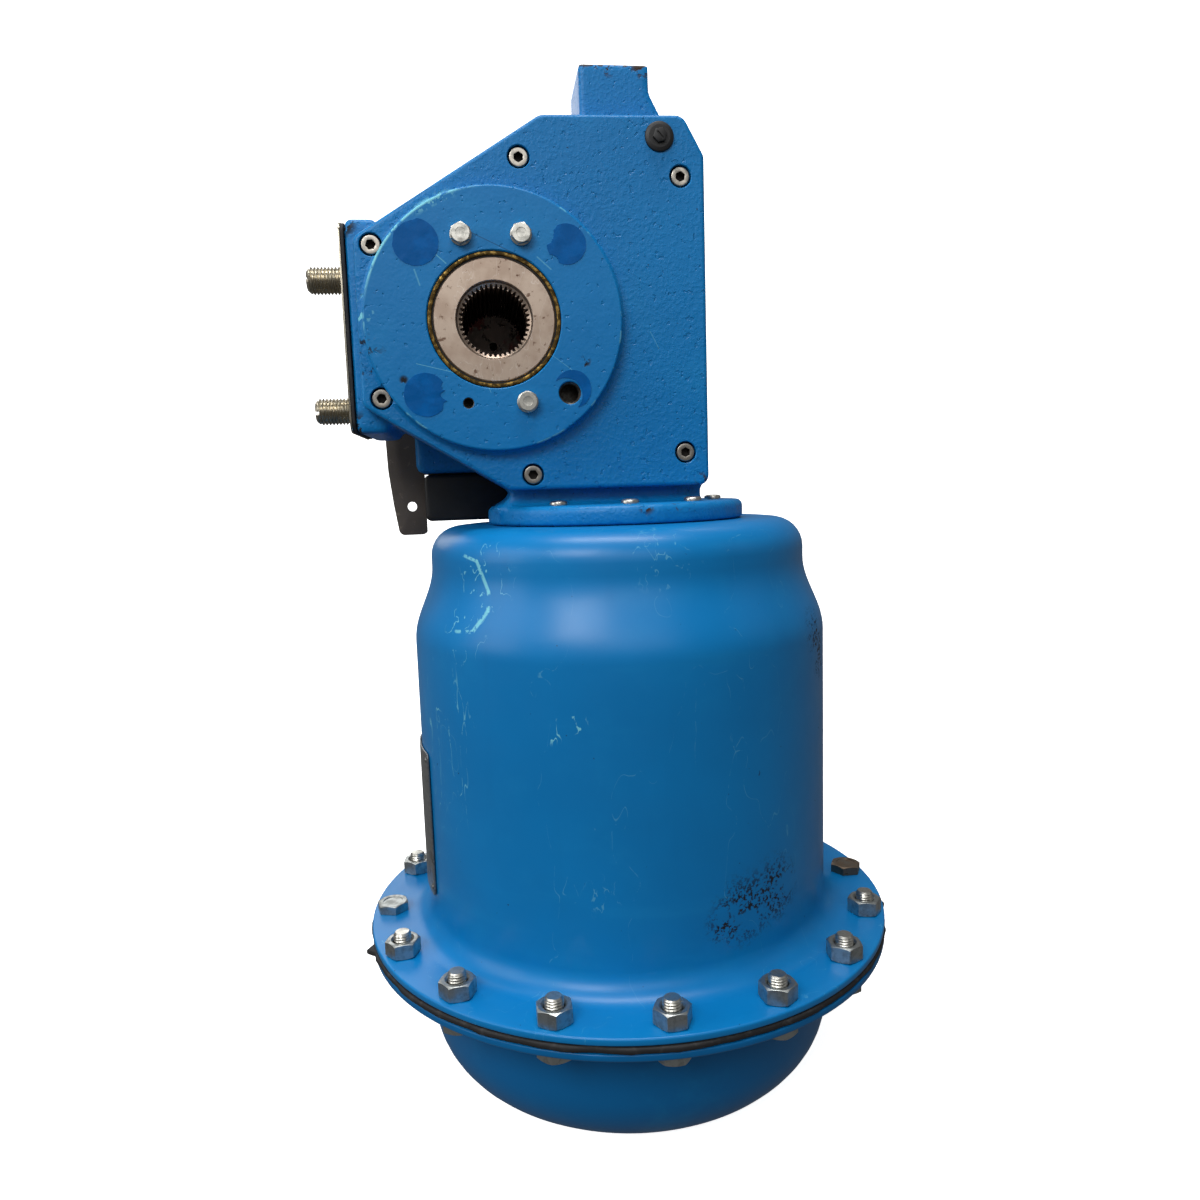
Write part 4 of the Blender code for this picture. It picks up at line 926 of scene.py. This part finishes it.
def make_stickers():
    """Three round caps over mounting holes, and what is left of a fourth one."""
    caps = ((135, (-0.5, 0.8), 15.2, ((118, 16, 1.8), (140, 12, 1.2), (96, 10, 1.6), (170, 14, 0.8))),
            (45, (1.0, -0.5), 13.4, ((158, 24, 5.0), (228, 16, 3.0), (128, 10, 1.5))),
            (225, (1.0, 0.5), 14.6, ((-2, 14, 6.5), (22, 12, 3.5), (-28, 10, 2.0))))
    for index, (angle, shift, radius, tears) in enumerate(caps, 1):
        mesh = on_disc(torn_disc(radius, 3.7 * index, tears), DISC_PCD_R, angle, shift=shift)
        piece(f"hole_cap_{index}", mesh, STICKER, "casing", "cast_blue_paint")
    rest = shaped(torn_disc(12.8, 21.0), cut=[placed(rod(11.6, -3, 3, 40), -5.0, -4.0)], sharp=50)
    piece("hole_cap_rest", on_disc(rest, DISC_PCD_R, 315, shift=(2.0, 2.6)), STICKER, "casing", "cast_blue_paint")


def make_side_plate():
    """Gasket and thin plate on the stop pad."""
    x = PAD_FACE_X - GAP
    for name, node, thick, border, finish, slot in (
            ("stop_gasket", "side_gasket", 2.0, 1.0, RUBBER, "black_rubber"),
            ("stop_plate", "side_plate", 1.5, 0.9, STUD_STEEL, "bare_steel")):
        low, high = (PAD_Y[0] + border, PAD_Z[0] + border), (PAD_Y[1] - border, PAD_Z[1] - border)
        outline = fillet([low, (high[0], low[1]), high, (low[0], high[1])], 9, 6)
        if name == "stop_gasket":
            outline = [(u + noise.noise(Vector((u * 0.09, v * 0.09, 2))) * 0.8,
                        v + noise.noise(Vector((u * 0.09, v * 0.09, 7))) * 0.8) for u, v in ragged(outline, 3.0)]
        mesh = prism(outline, x - thick, x, 0.35, "X", steps=2)
        cuts = [placed(rod(STOP_R + 0.8, -9, 9, 40), x, STOP_Y, z, "left") for z in STOP_Z]
        piece(name, shaped(mesh, cut=cuts), finish, "casing", slot, node)
        x -= thick + GAP


def ragged(outline, step):
    """The same outline with more points, about one every step millimetres."""
    found = []
    for a, b in zip(outline, outline[1:] + outline[:1]):
        a, b = Vector(a), Vector(b)
        count = max(1, round((b - a).length / step))
        found += [tuple(a.lerp(b, k / count)) for k in range(count)]
    return found


# --- Hub, lever and link ------------------------------------------------------------------------------
def make_bushings():
    for name, node, low, high in (("bush_front", "front_bushing", 46.2, 70.4),
                                  ("bush_rear", "rear_bushing", -71.0, -50.0)):
        profile = fillet([(HUB_R + 1.1, low), (HUB_R + 1.1, high), (BUSH_R - 0.1, high), (BUSH_R - 0.1, low)], 0.5, 2)
        ring = placed(revolve(profile, 96, closed=True), SHAFT_X, 0, SHAFT_Z, "front")
        piece(name, ring, BRASS, "casing", "bush_brass", node)
    wiper = [(HUB_R + 0.25, 66), (HUB_R + 0.25, 69.3), (HUB_R + 0.95, 69.3), (HUB_R + 0.95, 66)]
    piece("hub_seal", placed(revolve(wiper, 96, closed=True), SHAFT_X, 0, SHAFT_Z, "front"), RUBBER,
          "casing", "black_rubber")


def make_lever():
    """The forged lever on its splined hub, in its own frame, then turned to its rest angle."""
    front, rear = 70.2, -70.0
    hub = revolve([(0, front), (HUB_R - 0.8, front), (HUB_R, front - 0.8), (HUB_R, 44.5), (46, 44.5), (46, -48.5),
                   (HUB_R, -48.5), (HUB_R, rear + 1), (HUB_R - 1, rear), (0, rear)], 96)
    hub = placed(hub, face="front")
    eye = [(100 + polar(20, a)[0], polar(20, a)[1]) for a in range(-80, 81, 8)]
    cheek = fillet([(0, -38)], 0) + eye + [(0, 38)]
    adds = [prism(cheek, -24, -12, 1.5, "Y"), prism(cheek, 12, 24, 1.5, "Y"),
            prism([(0, -30), (58, -17), (58, 17), (0, 30)], -13, 13, 0, "Y")]
    diagonal = math.sqrt(0.5)
    for side in (-1, 1):
        ear = [((20 - 40) * diagonal, (20 + 40) * diagonal * side),
               ((59 - 40) * diagonal, (59 + 40) * diagonal * side),
               (20, 63 * side), (26, 40 * side), (10, 20 * side), (-14, 20 * side)]
        adds.append(prism(ear, -11, 11, 0.8, "Y"))
    teeth = 43
    spline = [polar(radius, 360 * (k + shift) / teeth) for k in range(teeth)
              for radius, shift in ((22.0, 0.12), (24.2, 0.34), (24.2, 0.66), (22.0, 0.88))]
    mouth = revolve([(0, 6), (26.5 + 6, 6), (25.6, -0.8), (25, -3.0), (22.4, -5.2), (0, -5.2)], 96)
    cuts = [prism(spline, -front - 5, 45), placed(mouth, y=-front, face="front"),
            placed(rod(30.3, 0, 40, 64), y=40, face="back"), placed(rod(9.3, -40, 40, 40), 100, face="front")]
    lever = shaped(hub, adds, cuts)
    lever.transform(Matrix.Translation(Vector((SHAFT_X, 0, SHAFT_Z)) * MM)
                    @ Matrix.Rotation(math.radians(LEVER_REST_ANGLE), 4, "Y"))
    piece("lever_forging", lever, HUB_STEEL, "lever", "bare_steel", "drive_lever", flat_faces=True)

    plug = revolve(fillet([(3.2, 40.3), (29.8, 40.3), (29.8, 7), (3.2, 7)], 0.4, 2), 64, closed=True)
    piece("bore_disc", placed(plug, SHAFT_X, 40, SHAFT_Z, "back"), STAINED_AND_LIT_STEEL, "lever", "bare_steel", "hub_end_plug")


def make_link_parts():
    """Carried-over pieces inside the housing get a worked metal or paint finish; the feedback spindle at the back of
    the bore takes the dark finish that paints the shade there.
    """
    for node, finish in (("clevis_pin", BARE_STEEL), ("rod_end", ZINC), ("rod_lock_nut", ZINC),
                         ("actuator_rod", BARE_STEEL), ("feedback_spindle", SOCKET_SHADE),
                         ("diaphragm_plate", LOWER_PAINT), ("clamp_disc", ZINC), ("spring_seat", ZINC)):
        mesh = NODES[node].data
        mesh.materials.clear()
        mesh.materials.append(finish)


# --- Casings ------------------------------------------------------------------------------------------
def sheet(outer, thickness):
    """A closed profile: the outer line, then the same line moved inwards."""
    inner = []
    for index, point in enumerate(outer):
        before, after = Vector(outer[max(index - 1, 0)]), Vector(outer[min(index + 1, len(outer) - 1)])
        along = (after - before).normalized()
        inner.append((point[0] + along.y * thickness, point[1] - along.x * thickness))
    return inner


def barrel_line():
    """The barrel's outside from its top hole down to the flange."""
    top, corner = BARREL_TOP_Z, 22.0
    points = [(40, top), (70, top), (100, top)]
    for k in range(9):
        x, y = polar(corner, 90 - 90 * k / 8)
        points.append((SHOULDER_R - corner + x, top - corner + y))
    for k in range(15):
        share = k / 14
        radius = SHOULDER_R + (BARREL_R - SHOULDER_R) * (0.5 - 0.5 * math.cos(math.pi * share))
        points.append((radius, CASING_Z + 275 - 55 * share))
    for height in range(325, 145, -15):
        points.append((BARREL_R, float(height)))
    flare = 17.5
    for k in range(9):
        x, y = polar(flare, 180 + 90 * k / 8)
        points.append((BARREL_R + flare + x, CASING_Z + flare + y))
    return points


def dented(amount):
    """Slight unevenness of a pressed shell, as a change of radius; never outside the CAD's own size."""
    def radius_of(radius, height, angle):
        place = Vector((math.cos(angle) * 1.6, math.sin(angle) * 1.6, height * 0.012))
        return radius - amount * (0.5 + 0.5 * noise.noise(place)) * (1 if 40 < radius < 170 else 0)
    return radius_of


def make_casings():
    line = barrel_line()
    inner = [p for p in sheet(line, SHELL) if p[1] > CASING_Z + 4]
    low = CASING_Z - FLANGE_T
    flange = fillet([(175.9, CASING_Z), (FLANGE_R, CASING_Z), (FLANGE_R, low), (160, low)],
                    [0, 1.4, 1.0, 0], 3, closed=False)[1:]
    profile = line + [(190, CASING_Z)] + flange + inner[::-1]
    piece("barrel_shell", revolve(profile, 160, closed=True, radius_of=dented(0.5), sharp=40), BARREL_PAINT,
          "casing", "smooth_blue_paint", "barrel")

    top = CASING_Z - 2 * FLANGE_T - 2 * GAP
    wall = [(DISH_TOP_R + 3, top - FLANGE_T), (DISH_TOP_R, top - FLANGE_T - 3)]
    for k in range(4):
        share = k / 3
        wall.append((DISH_TOP_R - 0.3 - 3.4 * share, top - 12 - (top - 12 - DISH_CORNER - 6) * share))
    for k in range(13):
        x, y = polar(DISH_CORNER, -4 - 86 * k / 12)
        wall.append((DISH_WALL_R - DISH_CORNER + x, DISH_CORNER + y))
    wall += [(80, 0.0), (40, 0.0)]
    inside = sheet(wall, SHELL)
    profile = [(0, SHELL)] + inside[:1:-1] + [(DISH_TOP_R - SHELL, top)]
    profile += fillet([(170, top), (FLANGE_R, top), (FLANGE_R, top - FLANGE_T), (170, top - FLANGE_T)],
                      [0, 1.0, 1.4, 0], 3, closed=False)
    profile += wall + [(0, 0)]
    port = placed(rod(7, 0, 60), *polar(130, AIR_PORT_ANGLE), AIR_PORT_Z, "back")
    dish = shaped(revolve(profile, 160, radius_of=dented(0.4), sharp=40), cut=[port], sharp=40)
    piece("dish_shell", dish, LOWER_PAINT, "casing", "smooth_blue_paint", "lower_casing")


def make_diaphragm():
    """The rolling diaphragm: clamped rim with a ragged edge, sleeve down the lower casing, floor under the piston."""
    rim_top = CASING_Z - FLANGE_T - GAP
    rim_low = rim_top - FLANGE_T
    edge = FLANGE_R + 1.5
    outer = fillet([(190, rim_top), (edge, rim_top - 0.3), (edge, rim_low + 0.3), (190, rim_low)],
                   [0, 1.6, 1.6, 0], 3, closed=False)
    outer += [(156, rim_low), (152.6, rim_low - 2), (151.4, rim_low - 7)]
    outer += [(151.4 - 3.4 * k / 8, rim_low - 7 - (rim_low - 59) * k / 8) for k in range(1, 9)]
    for k in range(1, 10):
        x, y = polar(36, -90 * k / 9)
        outer.append((112 + x, 46 + y))
    outer += [(52, 10)]
    inner = [(52, 13), (112, 13)]
    for k in range(1, 10):
        x, y = polar(33, -90 + 90 * k / 9)
        inner.append((112 + x, 46 + y))
    inner += [(145 + 3.6 * k / 8, 46 + (rim_low - 56) * k / 8) for k in range(1, 9)]
    inner += [(150, rim_low - 2), (154, rim_top)]

    def ragged_edge(radius, height, angle):
        if radius < 200:
            return radius
        u, v = math.cos(angle), math.sin(angle)
        wander = noise.noise(Vector((u * 9, v * 9, 0.5))) * 1.5 + noise.noise(Vector((u * 40, v * 40, 4))) * 0.9
        torn = 0.0
        for middle, half, out in ((194, 1.7, 6.0), (199, 2.5, 1.5), (-9, 1.2, 2.5), (-5, 1.0, 3.5), (-14, 1.5, 2.0)):
            apart = abs((math.degrees(angle) - middle + 180) % 360 - 180) / half
            torn = max(torn, out * (1 - apart * apart))
        return min(edge, radius - 1.0 + wander) + torn

    mesh = revolve(outer + inner, 180, closed=True, radius_of=ragged_edge, sharp=50)
    mesh.materials.append(RUBBER)
    made = holder("rolling_diaphragm", mesh)
    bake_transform(made)
    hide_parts("diaphragm")


def make_spring():
    """The coil, seven turns at an even pitch from end to end."""
    wire, radius, turns, steps, sides = 9.0, 98.0, 7, 40, 14
    rings = []
    for index in range(turns * steps + 1):
        share = index / (turns * steps)
        angle = 2 * math.pi * turns * share
        height = SPRING_LOW_Z + (SPRING_HIGH_Z - SPRING_LOW_Z) * share
        out = Vector((math.cos(angle), math.sin(angle), 0))
        centre = out * radius + Vector((0, 0, height))
        around = [polar(wire, 360 * k / sides) for k in range(sides)]
        rings.append([tuple(centre + out * u + Vector((0, 0, v))) for u, v in around])
    spring = piece("spring_coil", lofted(rings, 60), SPRING_STEEL, "casing", "spring_steel", "spring")
    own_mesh(spring)


def radial(mesh, radius, degrees, height):
    """Turns a mesh built about Z to point outwards from the barrel's axis."""
    turn = Matrix.Rotation(math.radians(degrees - 90), 4, "Z") @ Matrix.Rotation(math.radians(-90), 4, "X")
    rise, out = (Matrix.Translation(Vector((0, 0, length)) * MM) for length in (height, radius))
    mesh.transform(rise @ turn @ out)
    return mesh


def make_nameplate():
    """A curved blank plate, held by four rivets."""
    low, high = 153.0, 263.0
    start, end = 177.0, 199.0
    inner, outer = BARREL_R + GAP + 0.1, BARREL_R + GAP + 1.3
    reach = math.radians(end - start) * outer
    flat = fillet([(0, low), (reach, low), (reach, high), (0, high)], 4, 4)
    work = bmesh.new()
    work.from_mesh(prism(ragged(flat, 4.0), inner, outer, 0.3, "Y", steps=2))
    strips = 20
    for k in range(1, strips):
        bmesh.ops.bisect_plane(work, geom=work.verts[:] + work.edges[:] + work.faces[:],
                               plane_co=(reach * k / strips * MM, 0, 0), plane_no=(1, 0, 0))
    for vertex in work.verts:
        x, y, z = (c / MM for c in vertex.co)
        vertex.co = Vector((*polar(y, start + math.degrees(x / outer)), z)) * MM
    plate = smooth_mesh(work)
    head = [(0, 1.0), (0.9, 0.9), (1.7, 0.55), (2.1, 0), (2.1, -0.6), (0, -0.6)]
    rivets = [radial(revolve(head, 20), outer, angle, z)
              for angle in (start + 2, end - 2) for z in (low + 6, high - 6)]
    piece("blank_nameplate", merged([plate, *rivets]), NAMEPLATE_METAL, "casing", "nameplate_metal",
          "nameplate")


# --- Rear pieces --------------------------------------------------------------------------------------
def make_positioner():
    blank = NODES["positioner_bracket"].data.copy()
    piece("bracket_casting", cast(blank, 2.0, 4, 0.5), CAST_PAINT, "casing", "cast_blue_paint",
          "positioner_bracket")
    outline = fillet(PLATE_OUTLINE, (5, 60, 80, 80, 60, 40, 26, 8, 8, 4, 5), 5)
    plate = prism(outline, 80.3, 84.3, 0.8, "Y", steps=2)
    cuts = [placed(rod(4, -9, 9), PLATE_HOLE[0], 82, PLATE_HOLE[1], "front"),
            placed(rod(12, -9, 9, 40), SHAFT_X, 82, SHAFT_Z, "front"),
            slab((-150.8, 70, 400), (-78.7, 95, 467.3))]
    piece("mounting_plate", shaped(plate, cut=cuts), DARK_PAINT, "casing", "dark_paint", "positioner_plate")

    body = slab((-148, 84.6, 443), (0, 126, 616), 12, 2.5)
    lid = slab((-147, 127.2, 444), (-1, 148.5, 615), 12, 5.0)
    # The front block fills the dark region under the bracket, partly a dark body put where shade falls.
    blocks = [slab(*FRONT_BLOCK, 5, 3.0), slab(*LOW_BLOCK, 3, 1.5)]
    room = placed(rod(12, -11.4, 2), SHAFT_X, 84.6, SHAFT_Z, "front")
    piece("positioner_body", shaped(body, blocks, [room]), PLASTIC, "casing", "black_plastic", "positioner_case")
    piece("positioner_seam", slab((-144, 125, 447), (-4, 128, 612), 9), RUBBER, "casing", "black_rubber")
    window = slab((-116, 147.4, 536), (-32, 152, 588), 8)
    pockets = [placed(drill(5.2, 8, 0.5, 28), x, 148.5, z, "back") for x in (-134, -14) for z in (457, 602)]
    ribs = [slab((x, 146.0, 456), (x + 3, 149.6, 512), 1.4, 1.0) for x in range(-112, -30, 11)]
    piece("positioner_lid", shaped(lid, ribs, [window, *pockets]), PLASTIC, "casing", "black_plastic")
    screw = socket_screw(4.4, 4.5, 4.0, shank=2.5, length=10)
    for index, (x, z) in enumerate(((-134, 457), (-134, 602), (-14, 457), (-14, 602)), 1):
        made = placed(screw.copy(), x, 145.4, z, "back", 10 * index)
        piece(f"lid_screw_{index}", made, SCREW_STEEL, "casing", "screw_steel")


def make_air_fitting():
    start = DISH_WALL_R + 1.8
    profile = fillet([(3.5, 26), (6.2, 26), (6.8, 24), (6.8, 21), (5.6, 20.2), (5.6, 14.5), (9, 13.2), (9, 2.2),
                      (3.5, 2.2)], [0.3, 0.6, 0.4, 0.4, 0.4, 0.3, 0.4, 0, 0], 2)
    mesh = shaped(revolve(profile, 40, closed=True), [hex_body(18, 4.0, 12.0)], [rod(3.5, 0, 30)])
    piece("air_connector", radial(mesh, start, AIR_PORT_ANGLE, AIR_PORT_Z), BRASS,
          "casing", "bush_brass", "air_fitting")


# --- Stage, lights and camera -------------------------------------------------------------------------
def make_stage():
    """A pale floor that curves up into a backdrop."""
    depth, reach, bend, height = 1.6, 3.5, 0.9, 4.0
    line = [(-4.0, 0.0), (-1.0, 0.0), (0.0, 0.0), (depth, 0.0)]
    for k in range(1, 17):
        angle = math.pi / 2 * k / 16
        line.append((depth + bend * math.sin(angle), bend * (1 - math.cos(angle))))
    line.append((depth + bend, height))
    points = [(x, y, z) for y, z in line for x in (-reach, reach)]
    faces = [[2 * k, 2 * k + 1, 2 * k + 3, 2 * k + 2] for k in range(len(line) - 1)]
    mesh = bpy.data.meshes.new("studio_floor")
    mesh.from_pydata(points, [], faces)
    mesh.shade_smooth()
    floor = holder("studio_floor", mesh)
    finish = Finish("studio_white", rgb(238, 238, 238), 0.9)
    finish.lay(finish.both(finish.noise(3.0), 0.05), rgb(226, 226, 226))
    finish.shader.inputs["Emission Color"].default_value = (1, 1, 1, 1)
    finish.shader.inputs["Emission Strength"].default_value = 0.88
    mesh.materials.append(finish.done())
    # Kept out of reflections and bounced light, which would wash out the paint.
    floor.visible_glossy = floor.visible_diffuse = False


def area_light(name, place, target, size, power):
    light = bpy.data.lights.new(name, "AREA")
    light.shape, light.size, light.size_y = "RECTANGLE", size[0], size[1]
    light.energy = power
    made = holder(name, light)
    made.location = place
    made.rotation_euler = (Vector(target) - Vector(place)).to_track_quat("-Z", "Y").to_euler()


def make_lights():
    """Soft boxes round the object, and a world that is white to look at but lights it only a little."""
    world = bpy.data.worlds.new("studio")
    world.use_nodes = True
    tree = world.node_tree
    lit, seen = tree.nodes["Background"], tree.nodes.new("ShaderNodeBackground")
    lit.inputs["Color"].default_value = seen.inputs["Color"].default_value = (1, 1, 1, 1)
    lit.inputs["Strength"].default_value, seen.inputs["Strength"].default_value = 0.14, 1.0
    share, path = tree.nodes.new("ShaderNodeMixShader"), tree.nodes.new("ShaderNodeLightPath")
    for start, end in ((path.outputs["Is Camera Ray"], share.inputs[0]), (lit.outputs[0], share.inputs[1]),
                       (seen.outputs[0], share.inputs[2]), (share.outputs[0], tree.nodes["World Output"].inputs[0])):
        tree.links.new(start, end)
    bpy.context.scene.world = world
    middle = (0, 0, 0.38)
    area_light("key", (-1.20, -1.9, 1.9), middle, (1.1, 0.9), 30)
    area_light("left", (-2.2, -0.5, 1.3), middle, (1.2, 1.6), 15)
    area_light("front", (0.0, -2.4, 1.6), middle, (1.8, 1.2), 10)
    area_light("right", (2.2, -0.8, 1.4), middle, (1.0, 1.2), 0.8)
    area_light("top", (-0.1, -0.3, 2.6), middle, (1.4, 0.5), 34)
    area_light("back", (-0.9, 2.2, 1.5), middle, (1.8, 1.4), 16)
    area_light("backdrop", (0.0, 1.0, 2.2), (0, 2.4, 0.9), (2.4, 0.8), 30)


def make_camera():
    lens = bpy.data.cameras.new("camera")
    lens.sensor_width = 36.0
    lens.lens = lens.sensor_width * 901 / 1200
    lens.clip_start, lens.clip_end = 0.02, 20
    camera = holder("camera", lens)
    right, up, ahead = (0.991791, -0.123900, -0.031679), (0.046834, 0.121394, 0.991508), (0.11900, 0.98485, -0.12620)
    turn = Matrix((right, up, tuple(-c for c in ahead))).transposed().to_4x4()
    camera.matrix_world = Matrix.Translation((-0.0991, -0.7027, 0.4539)) @ turn
    bpy.context.scene.camera = camera


make_housing()
make_cover()
make_threaded_holes()
make_stickers()
make_cover_fasteners()
make_neck_fasteners()
make_stop_studs()
make_side_plate()
make_bushings()
make_lever()
make_link_parts()
make_casings()
make_casing_fasteners()
make_diaphragm()
make_spring()
make_nameplate()
make_positioner()
make_air_fitting()
make_stage()
make_lights()
make_camera()
bpy.context.scene.view_settings.view_transform = "Standard"
